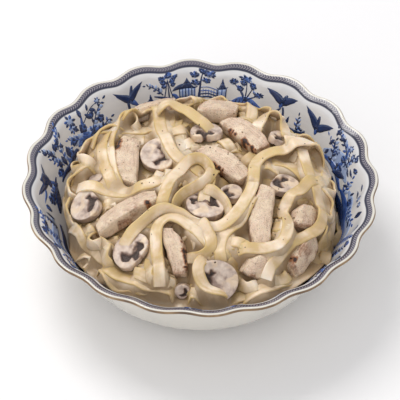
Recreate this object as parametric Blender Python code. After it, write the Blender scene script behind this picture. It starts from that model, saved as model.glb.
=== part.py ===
"""Fettuccine in cream sauce with grilled chicken and sliced mushrooms, in a scalloped bowl.

+Z is up, and the origin is the centre of the plane that the foot ring rests on. Sizes are named
in millimetres and become metres where a mesh is made.
"""

import math

import bmesh
import bpy
from mathutils import Euler, Matrix, Vector

MM = 0.001
GAP = 0.35  # clearance between neighbouring solids

# The bowl: a flat floor, a bend up to a steep wall, and a lip that flares out to the rim.
FLOOR_HEIGHT = 7.1
FLOOR_RADIUS = 51.5
CORNER_BEND = 38.0
WALL_SLOPE = math.radians(59.5)
WALL_RUN = 42.9
LIP_BEND = 9.0
LIP_SLOPE = math.radians(26)
LIP_RUN = 4.0
THICKNESS = 4.0
RIM_WIDTH = 2.6
FOOT_RADIUS = 59.0
FOOT_WIDTH = 5.0
FOOT_HEIGHT = 3.2
LOBES = 20
LOBE_DEPTH = 1.6  # a lobe's tip stands this far outside the mean rim, and a notch inside it
LOBE_RISE = 0.5
LOBE_TURN = math.radians(4.4)
LOBE_POWER = 2.6  # above 2, the notches are narrower than the tips
FACETS_PER_LOBE = 4
INNER_RINGS = (0, 0.11, 0.22, 0.33, 0.43, 0.66, 0.895, 0.927, 0.957, 1)
OUTER_RINGS = (0.14, 0.27, 0.38, 0.66, 0.89, 0.94)

# The pile of pasta: flat-topped, with a steep shoulder that meets the wall below the rim.
PILE_PEAK = 76.0
PILE_CONTACT = 38.0
PILE_SHOULDER = 5.0
PILE_DROP = 0.45
PILE_FACETS = 48
PILE_RINGS = 9
LUMP_HEIGHT = 1.6
LUMP_LENGTH = 24.0
STRAND_EDGE = 1.6  # how unevenly the strands reach in and out round the shoulder

# Grilled chicken: name, centre in plan, height of the centre over the pile's surface,
# (length, width, thickness), and degrees of roll, pitch and turn in plan.
CHICKEN = [
    ("chicken_upright_left", (-47, 13), -1.5, (37, 16, 12), (8, -8, 88)),
    ("chicken_long_left", (-47, -33.5), -1.0, (46, 14, 12), (-14, 0, 33)),
    ("chicken_front_middle", (-16.5, -64.5), -1.5, (33, 12, 11), (6, 6, -76)),
    ("chicken_grilled_centre", (14.5, 10.5), -1.0, (39, 15, 11), (16, 0, -42)),
    ("chicken_grilled_back", (28.5, 38.5), -1.0, (36, 15, 11), (14, 0, -47)),
    ("chicken_upright_right", (41.5, -36), -0.5, (46, 15, 11), (-4, -9, 86)),
    ("chicken_chunk_right", (68, -30), -2.5, (18, 17, 15), (6, 6, 14)),
    ("chicken_chunk_edge", (68, -53), -2.0, (29, 15, 12), (0, 0, 64)),
    ("chicken_chunk_front", (38, -71), -2.0, (18, 15, 12), (0, 6, -6)),
    ("chicken_chunk_back", (10.5, 62.5), -0.5, (26, 17, 12), (-6, 4, 4)),
    ("chicken_strip_back", (-33, 69), -1.0, (34, 13, 11), (-6, 0, 20)),
]
CHICKEN_STATIONS = 6
CHICKEN_FACETS = 8
CHICKEN_BOXINESS = 3.2
CHICKEN_TAPER = 0.24
CHICKEN_BEND = 0.05  # sideways bow of a strip, as a share of its length
CHICKEN_SLANT = 0.3  # how obliquely the ends are cut

# Mushroom slices, cut from top to stem: name, centre in plan, height over the pile's surface,
# (cap width, height with stem, thickness), and degrees of roll, pitch and turn in plan.
MUSHROOMS = [
    ("mushroom_upright_left", (-29.5, 17), -0.5, (25, 21, 6), (-6, -12, 106)),
    ("mushroom_middle", (2, -28), -0.5, (27, 22, 6), (4, 0, 136)),
    ("mushroom_small_middle", (20.5, -14.5), -1.5, (15, 15, 6), (-10, 0, -32)),
    ("mushroom_back", (3, 41), -1.0, (22, 18, 6), (-12, 0, 8)),
    ("mushroom_right", (55.5, -6.5), -1.0, (20, 19, 6), (6, -8, -116)),
    ("mushroom_back_right", (53, 38.5), -0.5, (17, 18, 6), (-12, 0, -24)),
    ("mushroom_left", (-75, -21), -1.0, (25, 21, 6), (0, 0, 114)),
    ("mushroom_front_left", (-45, -60.5), -0.5, (27, 22, 6), (-6, 6, 50)),
    ("mushroom_front", (12.5, -81), 0.0, (29, 26, 6), (-4, 0, -74)),
    ("mushroom_small_left", (-67, -2), -1.5, (15, 14, 6), (0, 0, 30)),
    ("mushroom_small_front", (-11, -85.5), -1.5, (11, 10, 5), (0, 0, 60)),
]
CAP_SHARE = 0.66  # the dome's share of a slice's height, above its widest line
CURL_SHARE = 0.15  # how far the cap's edge curls in below its widest line, as a share of height
STEM_SHARE = 0.38  # the stem's share of the cap's width
CAP_FACETS = 10


def clear_scene():
    """Removes every object, so that only the model is left."""
    for old in list(bpy.data.objects):
        bpy.data.objects.remove(old, do_unlink=True)


def material(name, colour, roughness):
    """A plain finish in the piece's own colour."""
    made = bpy.data.materials.new(name)
    made.use_nodes = True
    shader = made.node_tree.nodes["Principled BSDF"]
    shader.inputs["Base Color"].default_value = (*colour, 1.0)
    shader.inputs["Roughness"].default_value = roughness
    shader.inputs["Metallic"].default_value = 0.0
    return made


def mesh_object(name, points, faces, finish, matrix=None):
    """An object made from points in millimetres, shaded smooth where its faces nearly line up."""
    mesh = bpy.data.meshes.new(name)
    mesh.from_pydata([Vector(p) * MM for p in points], [], faces)
    shaper = bmesh.new()
    shaper.from_mesh(mesh)
    bmesh.ops.recalc_face_normals(shaper, faces=shaper.faces)
    shaper.to_mesh(mesh)
    shaper.free()
    mesh.shade_smooth()
    mesh.set_sharp_from_angle(angle=math.radians(35))
    if finish:
        mesh.materials.append(finish)
    made = bpy.data.objects.new(name, mesh)
    if matrix:
        made.matrix_world = matrix
    bpy.context.scene.collection.objects.link(made)
    return made


def stacked_rings(rings, bottom, top):
    """Points and faces of a closed shell: equal rings from bottom to top, with a pole at each end."""
    count = len(rings[0])
    points = [p for ring in rings for p in ring]
    faces = []
    for level in range(len(rings) - 1):
        for i in range(count):
            j = (i + 1) % count
            low, high = level * count, (level + 1) * count
            faces.append((low + i, low + j, high + j, high + i))
    last = (len(rings) - 1) * count
    for pole, start in ((bottom, 0), (top, last)):
        points.append(pole)
        centre = len(points) - 1
        for i in range(count):
            faces.append((centre, start + i, start + (i + 1) % count))
    return points, faces


# --- bowl -------------------------------------------------------------------------------------


def lobe(angle):
    """1 at the tip of a lobe and -1 in a notch."""
    wave = abs(math.sin(LOBES * (angle - LOBE_TURN) / 2))
    return 1 - 2 * wave**LOBE_POWER


def wall_line(share):
    """The inner wall's radius, height and slope. Share runs 0 at the floor's edge, 1 at the rim."""
    bend = CORNER_BEND * WALL_SLOPE
    flare = LIP_BEND * (WALL_SLOPE - LIP_SLOPE)
    run = share * (bend + WALL_RUN + flare + LIP_RUN)
    slope = min(run / CORNER_BEND, WALL_SLOPE)
    radius = FLOOR_RADIUS + CORNER_BEND * math.sin(slope)
    height = FLOOR_HEIGHT + CORNER_BEND * (1 - math.cos(slope))
    straight = min(max(run - bend, 0), WALL_RUN)
    radius += straight * math.cos(WALL_SLOPE)
    height += straight * math.sin(WALL_SLOPE)
    past = min(max(run - bend - WALL_RUN, 0), flare)
    if past > 0:
        slope = WALL_SLOPE - past / LIP_BEND
        radius += LIP_BEND * (math.sin(WALL_SLOPE) - math.sin(slope))
        height += LIP_BEND * (math.cos(slope) - math.cos(WALL_SLOPE))
    end = max(run - bend - WALL_RUN - flare, 0)
    radius += end * math.cos(LIP_SLOPE)
    height += end * math.sin(LIP_SLOPE)
    return radius, height, slope


def lobe_depth(height):
    """How deep the lobes are at a height: full at the rim, fading out down to the floor."""
    rim_height = wall_line(1)[1]
    up = max(0, height - FLOOR_HEIGHT) / (rim_height - FLOOR_HEIGHT)
    return LOBE_DEPTH * up**1.8


def bowl_ring(radius, height, facets):
    """One ring of the bowl."""
    deep = lobe_depth(height)
    rise = LOBE_RISE * (deep / LOBE_DEPTH) ** 3
    ring = []
    for i in range(facets):
        angle = 2 * math.pi * i / facets + LOBE_TURN
        r = radius + deep * lobe(angle)
        z = height + rise * lobe(angle)
        ring.append((r * math.cos(angle), r * math.sin(angle), z))
    return ring


def build_bowl(finish):
    """Inner wall down, under the foot ring and out to the rim, as one closed shell."""
    facets = LOBES * FACETS_PER_LOBE
    rings = []
    recess = FOOT_HEIGHT
    # Under the base: the recess, the foot ring's flat, and its outer side.
    inside_foot = FOOT_RADIUS - FOOT_WIDTH
    rings.append(bowl_ring(inside_foot - recess / 2, recess, facets))
    rings.append(bowl_ring(inside_foot, 0, facets))
    rings.append(bowl_ring(FOOT_RADIUS, 0, facets))
    rings.append(bowl_ring(FOOT_RADIUS + 0.8, FOOT_HEIGHT + 0.6, facets))
    for share in OUTER_RINGS:
        radius, height, slope = wall_line(share)
        thick = THICKNESS + (RIM_WIDTH - THICKNESS) * share**4
        out = (radius + thick * math.sin(slope), height - thick * math.cos(slope))
        rings.append(bowl_ring(*out, facets))
    # The rim rounds over between the outer and the inner face.
    radius, height, slope = wall_line(1)
    round_over = RIM_WIDTH / 2
    middle = (
        radius + round_over * (math.sin(slope) + math.cos(slope)),
        height - round_over * (math.cos(slope) - math.sin(slope)),
    )
    rings.append(bowl_ring(*middle, facets))
    for share in reversed(INNER_RINGS):
        radius, height, _ = wall_line(share)
        rings.append(bowl_ring(radius, height, facets))
    points, faces = stacked_rings(rings, (0, 0, recess), (0, 0, FLOOR_HEIGHT))
    return mesh_object("bowl", points, faces, finish)


# --- pile of pasta ----------------------------------------------------------------------------


def wall_share_at(height):
    """The share of the wall's run at which it reaches a height."""
    low, high = 0.0, 1.0
    while high - low > 1e-6:
        middle = (low + high) / 2
        if wall_line(middle)[1] < height:
            low = middle
        else:
            high = middle
    return low


def pile_edge():
    """The pile's radius where it meets the wall."""
    return wall_line(wall_share_at(PILE_CONTACT))[0] - GAP - lobe_depth(PILE_CONTACT)


def pile_height(x, y):
    """Height of the pile's smooth surface, before its lumps."""
    share = min(1.0, math.hypot(x, y) / pile_edge())
    drop = (1 - share**PILE_SHOULDER) ** PILE_DROP
    return PILE_CONTACT + (PILE_PEAK - PILE_CONTACT) * drop


def lumps(x, y):
    """Mounds and dips left by tangled strands: three wave trains that cross."""
    total = 0.0
    for turn, phase in ((0.3, 0.0), (1.4, 1.9), (2.5, 4.0)):
        along = x * math.cos(turn) + y * math.sin(turn)
        across = y * math.cos(turn) - x * math.sin(turn)
        swing = 0.7 * math.sin(across / (0.8 * LUMP_LENGTH) + phase)
        total += math.sin(2 * math.pi * along / LUMP_LENGTH + phase + swing)
    return LUMP_HEIGHT * total / 1.7


def build_pile(finish):
    """The tangle of strands as one solid that fills the bowl up to its uneven top."""
    step = 2 * math.pi / PILE_FACETS
    angles = [step * i for i in range(PILE_FACETS)]
    rings = []
    contact = wall_share_at(PILE_CONTACT)
    for share in [share for share in INNER_RINGS if share < contact - 0.05] + [contact]:
        radius, height, slope = wall_line(share)
        radius -= (GAP + lobe_depth(height)) * math.sin(slope) + 0.1
        height += GAP * math.cos(slope)
        rings.append([(radius * math.cos(a), radius * math.sin(a), height) for a in angles])
    edge = rings[-1][0][0]
    for level in range(1, PILE_RINGS + 1):
        share = math.cos(0.5 * math.pi * level / (PILE_RINGS + 1))
        share = 1 - (1 - share) ** 1.15
        ring = []
        for a in angles:
            ragged = STRAND_EDGE * share**6 * (1 - share) * 4
            r = edge * share + ragged * math.sin(7 * a) + ragged * math.sin(11 * a + 1)
            x, y = r * math.cos(a), r * math.sin(a)
            level_off = min(1.0, 3 * (1 - share))
            ring.append((x, y, pile_height(x, y) + lumps(x, y) * level_off))
        rings.append(ring)
    top = (0, 0, pile_height(0, 0) + lumps(0, 0))
    points, faces = stacked_rings(rings, (0, 0, FLOOR_HEIGHT + GAP), top)
    return mesh_object("fettuccine", points, faces, finish)


def pose_on_pile(place, lift, turns):
    """A pose that lies along the pile's surface, lifted off it and turned in degrees."""
    x, y = place
    step = 4.0
    slope_x = (pile_height(x + step, y) - pile_height(x - step, y)) / (2 * step)
    slope_y = (pile_height(x, y + step) - pile_height(x, y - step)) / (2 * step)
    up = Vector((-slope_x, -slope_y, 1)).normalized()
    lean = Vector((0, 0, 1)).rotation_difference(up).to_matrix().to_4x4()
    roll, pitch, yaw = (math.radians(turn) for turn in turns)
    turned = Euler((roll, pitch, yaw), "XYZ").to_matrix().to_4x4()
    centre = (Vector((x, y, pile_height(x, y))) + up * lift) * MM
    return Matrix.Translation(centre) @ lean @ turned


# --- chicken ----------------------------------------------------------------------------------


def chicken_shape(size, grow=0.0, well=0.0):
    """A cut strip of breast: boxy sections, bowed, narrower at its ends, which are cut obliquely.

    Grow adds clearance all round, and well raises the top, for the hollow that a strip lies in.
    """
    length, width, thick = (side + 2 * grow for side in size)
    rings = []
    for station in range(CHICKEN_STATIONS):
        along = 2 * station / (CHICKEN_STATIONS - 1) - 1
        along = math.copysign(abs(along) ** 0.8, along)
        narrow = 1 - CHICKEN_TAPER * abs(along) ** 3
        bow = CHICKEN_BEND * length * (1 - along**2)
        ring = []
        for i in range(CHICKEN_FACETS):
            angle = 2 * math.pi * (i + 0.5) / CHICKEN_FACETS
            power = 2 / CHICKEN_BOXINESS
            y = math.copysign(abs(math.cos(angle)) ** power, math.cos(angle))
            z = math.copysign(abs(math.sin(angle)) ** power, math.sin(angle))
            y *= 0.5 * width * narrow
            z *= 0.5 * thick * (narrow if z > 0 else 0.5 + 0.5 * narrow)
            x = 0.5 * length * along + CHICKEN_SLANT * y * abs(along)
            ring.append((x, y + bow, z + (well if z > 0 else 0)))
        rings.append(ring)
    first, last = rings[0], rings[-1]
    points = [p for ring in rings for p in ring]
    _, faces = stacked_rings(rings, (0, 0, 0), (0, 0, 0))
    sides = faces[: (CHICKEN_STATIONS - 1) * CHICKEN_FACETS]
    end = len(points) - len(last)
    caps = [tuple(range(len(first))), tuple(range(end, len(points)))]
    return points, sides + caps


# --- mushrooms --------------------------------------------------------------------------------


def mushroom_outline(width, height):
    """The outline of a button mushroom cut from top to stem, the cap's top towards +Y."""
    half, cap = width / 2, height * CAP_SHARE
    stem, foot = STEM_SHARE * half, -height * (1 - CAP_SHARE)
    right = []
    for i in range(CAP_FACETS // 2 + 1):
        angle = math.pi / 2 * (1 - i / (CAP_FACETS / 2))
        right.append((half * math.cos(angle), cap * math.sin(angle)))
    curl = -CURL_SHARE * height
    right.append((0.96 * half, 0.5 * curl))
    right.append((0.82 * half, curl))
    right.append((0.6 * half, curl))
    right.append((stem * 1.05, 0.5 * curl))
    right.append((stem, 0.7 * foot))
    right.append((stem * 0.95, 0.92 * foot))
    right.append((stem * 0.6, foot))
    left = [(-x, y) for x, y in reversed(right[1:])]
    middle = (cap + foot) / 2
    return [(x, y - middle) for x, y in right + left]


def grown(outline, grow):
    """The outline moved outwards by a distance. The outline runs clockwise."""
    moved = []
    for i, here in enumerate(outline):
        before, after = outline[i - 1], outline[(i + 1) % len(outline)]
        normals = []
        for a, b in ((before, here), (here, after)):
            run = math.dist(a, b)
            normals.append((-(b[1] - a[1]) / run, (b[0] - a[0]) / run))
        nx = normals[0][0] + normals[1][0]
        ny = normals[0][1] + normals[1][1]
        size = math.hypot(nx, ny)
        reach = grow * min(2.0, 2 / size)
        moved.append((here[0] + reach * nx / size, here[1] + reach * ny / size))
    return moved


def mushroom_shape(size, grow=0.0, well=0.0):
    """A slice: its outline, as thick as it was cut. Grow and well are as for the chicken."""
    width, height, thick = size
    outline = grown(mushroom_outline(width, height), grow)
    low, high = -thick / 2 - grow, thick / 2 + grow + well
    count = len(outline)
    points = [(x, y, z) for z in (low, high) for x, y in outline]
    faces = [(i, (i + 1) % count, count + (i + 1) % count, count + i) for i in range(count)]
    faces += [tuple(range(count)), tuple(range(count, 2 * count))]
    return points, faces


# --- putting it together ----------------------------------------------------------------------


def add_toppings(pile, pieces, shape, finish):
    """Sets each piece into the pile, in a well that leaves a small gap round it."""
    for name, place, lift, size, turns in pieces:
        pose = pose_on_pile(place, lift, turns)
        mesh_object(name, *shape(size), finish, pose)
        cutter = mesh_object(f"{name}_well", *shape(size, GAP, well=25.0), None, pose)
        cutter.hide_render = True
        cutter.display_type = "WIRE"
        cut = pile.modifiers.new(f"{name}_well", "BOOLEAN")
        cut.operation = "DIFFERENCE"
        cut.object = cutter


def main():
    clear_scene()
    build_bowl(material("glazed_china", (0.86, 0.87, 0.89), 0.15))
    pile = build_pile(material("pasta_in_cream", (0.80, 0.68, 0.47), 0.4))
    add_toppings(pile, CHICKEN, chicken_shape, material("chicken", (0.66, 0.47, 0.34), 0.55))
    add_toppings(pile, MUSHROOMS, mushroom_shape, material("mushroom", (0.62, 0.55, 0.48), 0.5))


main()
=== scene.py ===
"""Fettuccine in cream sauce with grilled chicken and sliced mushrooms, in a scalloped bowl."""

import itertools
import math
import random

import bmesh
import bpy
import numpy as np
from mathutils import Euler, Matrix, Vector, noise


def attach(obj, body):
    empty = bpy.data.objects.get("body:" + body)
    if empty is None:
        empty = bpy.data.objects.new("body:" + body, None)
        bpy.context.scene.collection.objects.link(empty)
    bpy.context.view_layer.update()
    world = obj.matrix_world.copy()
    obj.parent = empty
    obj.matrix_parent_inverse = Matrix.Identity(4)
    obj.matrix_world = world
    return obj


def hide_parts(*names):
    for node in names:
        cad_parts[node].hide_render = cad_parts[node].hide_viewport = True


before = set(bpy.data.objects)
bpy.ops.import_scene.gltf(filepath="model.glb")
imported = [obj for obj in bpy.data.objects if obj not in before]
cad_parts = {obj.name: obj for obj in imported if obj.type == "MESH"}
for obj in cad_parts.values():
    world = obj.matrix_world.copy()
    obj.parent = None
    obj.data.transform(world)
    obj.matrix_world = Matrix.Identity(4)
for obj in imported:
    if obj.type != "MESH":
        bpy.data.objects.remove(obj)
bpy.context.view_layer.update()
MM = 0.001

# --- Bowl ---------------------------------------------------------------------------------------
# A deep serving bowl of glazed white china on a foot ring. Its lip flares out to twenty soft
# lobes, with a worn gold edge and a blue-grey braid round the inside of the lip. It is thrown,
# moulded, printed under the glaze and fired.

# Millimetres: the floor and the bend up from it, the wall, the lip, the china and its foot. Then
# the lobes, and how finely the shell is cut.
FLOOR_HEIGHT = 7.1
FLOOR_RADIUS = 51.5
CORNER_BEND = 38.0
WALL_SLOPE = math.radians(59.5)
WALL_RUN = 42.9
LIP_BEND = 9.0
LIP_SLOPE = math.radians(26)
LIP_RUN = 4.0
THICKNESS = 4.0
RIM_WIDTH = 2.6
FOOT_RADIUS = 59.0
FOOT_WIDTH = 5.0
FOOT_HEIGHT = 3.2
LOBES = 20
LOBE_DEPTH = 1.6
LOBE_RISE = 0.5
LOBE_TURN = math.radians(4.4)
LOBE_POWER = 2.6
BOWL_FACETS = 24 * LOBES
BAND_RADIUS = 0.115
BRAID_STEP = 1.9
CORNER_LENGTH = CORNER_BEND * WALL_SLOPE
LIP_CURVE = LIP_BEND * (WALL_SLOPE - LIP_SLOPE)
WALL_LENGTH = CORNER_LENGTH + WALL_RUN + LIP_CURVE + LIP_RUN
OUTSIDE_STATIONS, INSIDE_STATIONS = 30, 56


def wall_line(share):
    """The inner wall's radius, height and slope. Share runs 0 at the floor's edge, 1 at the rim."""
    run = share * WALL_LENGTH
    slope = min(run / CORNER_BEND, WALL_SLOPE)
    radius = FLOOR_RADIUS + CORNER_BEND * math.sin(slope)
    height = FLOOR_HEIGHT + CORNER_BEND * (1 - math.cos(slope))
    straight = min(max(run - CORNER_LENGTH, 0), WALL_RUN)
    radius += straight * math.cos(WALL_SLOPE)
    height += straight * math.sin(WALL_SLOPE)
    past = min(max(run - CORNER_LENGTH - WALL_RUN, 0), LIP_CURVE)
    if past > 0:
        slope = WALL_SLOPE - past / LIP_BEND
        radius += LIP_BEND * (math.sin(WALL_SLOPE) - math.sin(slope))
        height += LIP_BEND * (math.cos(slope) - math.cos(WALL_SLOPE))
    end = max(run - CORNER_LENGTH - WALL_RUN - LIP_CURVE, 0)
    return radius + end * math.cos(LIP_SLOPE), height + end * math.sin(LIP_SLOPE), slope


RIM_HEIGHT = wall_line(1)[1]


def lobe(angle):
    """1 at the tip of a lobe and -1 in a notch."""
    return 1 - 2 * abs(math.sin(LOBES * (angle - LOBE_TURN) / 2)) ** LOBE_POWER


def lobe_depth(height):
    """How deep the lobes are at a height: full at the rim, fading out down to the floor."""
    return LOBE_DEPTH * (max(0, height - FLOOR_HEIGHT) / (RIM_HEIGHT - FLOOR_HEIGHT)) ** 1.8


def bowl_point(angle, radius, height):
    """A point of the bowl in millimetres, with the lobes' swell added."""
    deep = lobe_depth(height)
    r = radius + deep * lobe(angle)
    z = height + LOBE_RISE * (deep / LOBE_DEPTH) ** 3 * lobe(angle)
    return Vector((r * math.cos(angle), r * math.sin(angle), z))


def bowl_outline():
    """The bowl's section from the axis below, out over the rim, and back to the axis inside."""
    inside = FOOT_RADIUS - FOOT_WIDTH
    quarter = [math.pi / 2 * i / 4 for i in range(5)]
    section = [(r, FOOT_HEIGHT) for r in (4, 16, 30, 42, inside - 3.4)]
    # The foot: the bend into its inner side, its two edges, and the step up to the wall.
    section += [
        (inside - 2.2 + 1.6 * math.sin(t) - 0.6, FOOT_HEIGHT - 1.4 * (1 - math.cos(t)))
        for t in quarter
    ]
    section += [(inside + 0.8 - 0.8 * math.cos(t), 0.8 - 0.8 * math.sin(t)) for t in quarter]
    section += [(FOOT_RADIUS - 1.0 + math.sin(t), 1.0 - math.cos(t)) for t in quarter]
    section += [(FOOT_RADIUS + 0.05, 2.2), (FOOT_RADIUS + 0.5, 3.3), (FOOT_RADIUS + 1.6, 4.3)]
    for i in range(OUTSIDE_STATIONS):
        share = 0.12 + 0.88 * i / (OUTSIDE_STATIONS - 1)
        radius, height, slope = wall_line(share)
        thick = THICKNESS + (RIM_WIDTH - THICKNESS) * share**4
        section.append((radius + thick * math.sin(slope), height - thick * math.cos(slope)))
    radius, height, slope = wall_line(1)
    sine, cosine = math.sin(slope), math.cos(slope)
    for i in range(1, 8):
        turn = math.pi * i / 8
        across, along = RIM_WIDTH / 2 * (1 + math.cos(turn)), RIM_WIDTH / 2 * math.sin(turn)
        edge = (radius + across * sine + along * cosine, height - across * cosine + along * sine)
        section.append(edge)
    last = INSIDE_STATIONS - 1
    section += [wall_line(1 - i / last)[:2] for i in range(INSIDE_STATIONS)]
    return section + [(r, FLOOR_HEIGHT) for r in (44, 34, 22, 10, 3)]


def build_bowl():
    """The shell, with a map whose first axis runs round the bowl and whose second is distance
    inwards from the rim's edge, both in metres, for the bands."""
    section = bowl_outline()
    middle = max(range(len(section)), key=lambda i: section[i][0])
    reach = [0.0]
    for a, b in zip(section, section[1:]):
        reach.append(reach[-1] + math.dist(a, b))
    reach = [r - reach[middle] for r in reach]
    shell = bmesh.new()
    where = shell.loops.layers.uv.new("bands")
    rings = []
    turns = [2 * math.pi * i / BOWL_FACETS for i in range(BOWL_FACETS)]
    for radius, height in section:
        rings.append([shell.verts.new(bowl_point(turn, radius, height) * MM) for turn in turns])
    around = 2 * math.pi * BAND_RADIUS
    for level in range(len(rings) - 1):
        for i in range(BOWL_FACETS):
            j = (i + 1) % BOWL_FACETS
            low, high = rings[level], rings[level + 1]
            face = shell.faces.new((low[i], low[j], high[j], high[i]))
            spots = ((i, level), (i + 1, level), (i + 1, level + 1), (i, level + 1))
            for loop, (at, row) in zip(face.loops, spots):
                loop[where].uv = (around * at / BOWL_FACETS, reach[row] * MM)
    shell.faces.new(reversed(rings[0]))
    shell.faces.new(rings[-1])
    bmesh.ops.recalc_face_normals(shell, faces=shell.faces)
    mesh = bpy.data.meshes.new("bowl_china")
    shell.to_mesh(mesh)
    shell.free()
    mesh.shade_smooth()
    return mesh


def new_material(name, roughness, **settings):
    """A material, its nodes and its shader. A setting's name has _ for each space."""
    made = bpy.data.materials.new(name)
    made.use_nodes = True
    shader = made.node_tree.nodes["Principled BSDF"]
    shader.inputs["Roughness"].default_value = roughness
    for socket, value in settings.items():
        shader.inputs[socket.replace("_", " ")].default_value = value
    return made, made.node_tree, shader


def node(tree, kind, inputs=None, **settings):
    """A node with its settings and inputs. An input is a value or another node's output."""
    made = tree.nodes.new(kind)
    for setting, value in settings.items():
        setattr(made, setting, value)
    for socket, value in (inputs or {}).items():
        if isinstance(value, bpy.types.NodeSocket):
            tree.links.new(value, made.inputs[socket])
        else:
            made.inputs[socket].default_value = value
    return made


def sums(tree, operation, a, b=None, c=None):
    """The result of a Math node."""
    inputs = {i: value for i, value in enumerate((a, b, c)) if value is not None}
    return node(tree, "ShaderNodeMath", inputs, operation=operation).outputs[0]


def ramp(tree, value, *stops):
    """A colour ramp's colour for a value. Stops are a position and a colour."""
    made = node(tree, "ShaderNodeValToRGB", {0: value})
    while len(made.color_ramp.elements) < len(stops):
        made.color_ramp.elements.new(0.5)
    for element, (at, colour) in zip(made.color_ramp.elements, stops):
        element.position = at
        element.color = (*colour, 1)
    return made.outputs[0]


def blended(tree, share, under, over, mode="MIX"):
    """Two colours mixed by a share."""
    under, over = ((*c, 1) if isinstance(c, tuple) else c for c in (under, over))
    inputs = {0: share, 6: under, 7: over}
    return node(tree, "ShaderNodeMix", inputs, data_type="RGBA", blend_type=mode).outputs[2]


def steps(tree, value, low, high):
    """0 below low and 1 above high, easing between them."""
    ends = {0: value, 1: low, 2: high, 3: 0.0, 4: 1.0}
    return node(tree, "ShaderNodeMapRange", ends, interpolation_type="SMOOTHSTEP").outputs[0]


def cloudy(tree, where, scale, detail=2.0, **others):
    """A soft noise's value at each place. Where is None for the piece's own box."""
    inputs = {"Scale": scale, "Detail": detail, **others}
    if where is not None:
        inputs["Vector"] = where
    return node(tree, "ShaderNodeTexNoise", inputs).outputs[0]


def ruffled(tree, value, cloud, size):
    """A value pushed up and down by a noise."""
    return sums(tree, "ADD", value, sums(tree, "MULTIPLY_ADD", cloud, size, -size / 2))


def connect(tree, shader, colour, roughness=None, relief=None, strength=0.0, depth=0.0):
    """Gives a shader its colour, and its roughness and relief where they vary."""
    tree.links.new(colour, shader.inputs["Base Color"])
    if roughness is not None:
        tree.links.new(roughness, shader.inputs["Roughness"])
    if relief is not None:
        inputs = {"Strength": strength, "Distance": depth, "Height": relief}
        tree.links.new(node(tree, "ShaderNodeBump", inputs).outputs[0], shader.inputs["Normal"])


def glazed_china():
    """White glaze, with a gold line on the rim and a braid below it, drawn in the bands' map."""
    settings = {"Coat_Weight": 0.2, "Coat_Roughness": 0.12, "IOR": 1.45}
    made, tree, shader = new_material("glazed china", 0.22, **settings)
    spot = node(tree, "ShaderNodeUVMap", uv_map="bands").outputs[0]
    axes = node(tree, "ShaderNodeSeparateXYZ", {0: spot})
    along = sums(tree, "MULTIPLY", axes.outputs[0], 1 / MM)
    inward = sums(tree, "MULTIPLY", axes.outputs[1], 1 / MM)
    inward = ruffled(tree, inward, cloudy(tree, spot, 90.0, 3.0), 0.5)
    glaze = cloudy(tree, None, 14.0, 4.0)
    white = ramp(tree, glaze, (0.3, (0.66, 0.66, 0.68)), (0.7, (0.72, 0.71, 0.71)))

    # The braid: two rows of fine slanting strokes that meet, above a dark line.
    slant = sums(tree, "ADD", along, sums(tree, "PINGPONG", inward, 1.5))
    wave = sums(tree, "SINE", sums(tree, "MULTIPLY", slant, 2 * math.pi / BRAID_STEP))
    braid = blended(tree, steps(tree, wave, -0.4, 0.7), (0.055, 0.05, 0.085), (0.30, 0.28, 0.31))
    colour = blended(tree, steps(tree, inward, 3.6, 3.2), white, (0.72, 0.685, 0.61))
    for start, end, paint, soft in ((2.9, 6.6, braid, 0.3), (5.8, 7.5, (0.03, 0.032, 0.06), 0.4)):
        inside = sums(tree, "SUBTRACT", 1.0, steps(tree, inward, end - soft, end + soft))
        mask = sums(tree, "MULTIPLY", steps(tree, inward, start - soft, start + soft), inside)
        colour = blended(tree, mask, colour, paint)
    edge = steps(tree, sums(tree, "ABSOLUTE", sums(tree, "ADD", inward, -0.2)), 1.25, 0.85)
    worn = ((0.35, (0.11, 0.062, 0.035)), (0.55, (0.27, 0.165, 0.08)), (0.74, (0.52, 0.38, 0.22)))
    colour = blended(tree, edge, colour, ramp(tree, cloudy(tree, spot, 55.0, 5.0), *worn))
    roughness = sums(tree, "MULTIPLY_ADD", edge, 0.18, 0.12)
    connect(tree, shader, colour, roughness, cloudy(tree, None, 45.0), 0.08, 0.001)
    return made


def in_scene(name, data):
    """A new object in the scene."""
    made = bpy.data.objects.new(name, data)
    bpy.context.scene.collection.objects.link(made)
    return made


def place(name, mesh, finish, slot, *nodes):
    """Puts a finished mesh in the scene as a piece of the object."""
    piece = in_scene(name, mesh)
    if finish:
        mesh.materials.clear()
        mesh.materials.append(finish)
    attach(piece, "root")
    if nodes:
        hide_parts(*nodes)


place("bowl_china", build_bowl(), glazed_china(), "glazed_china", "bowl")

# --- Printed scenes -----------------------------------------------------------------------------
# A traditional landscape in cobalt blue runs round the inside of the wall: garden pavilions, a
# bridge, trees, birds and flowering sprays. It is a transfer under the glaze, brushed with washes.

PER_DEGREE = 2.0
FINEST, FILM_SUNK = 0.12, -0.06
DARK, BLUE, WASH = 0.0, 0.5, 1.0
ink = random.Random(5)
strokes = []


def along_route(route, spacing):
    """Even stations along a smooth curve through a route's points. Columns are x, y and the
    route's extra numbers."""
    width = max(len(p) for p in route)
    points = np.array([tuple(p) + (0.0,) * (width - len(p)) for p in route], dtype=float)
    points = np.vstack((2 * points[0] - points[1], points, 2 * points[-1] - points[-2]))
    fine = []
    for a, b, c, d in zip(points, points[1:], points[2:], points[3:]):
        for t in np.linspace(0, 1, 24, endpoint=False):
            square, cube = 2 * a - 5 * b + 4 * c - d, 3 * b - a - 3 * c + d
            fine.append(0.5 * (2 * b + (c - a) * t + square * t**2 + cube * t**3))
    fine = np.array(fine + [points[-2]])
    reach = np.concatenate(([0], np.cumsum(np.hypot(*np.diff(fine[:, :2], axis=0).T))))
    at = np.linspace(0, reach[-1], max(4, int(reach[-1] / spacing)))
    return np.column_stack([np.interp(at, reach, fine[:, k]) for k in range(width)])


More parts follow.
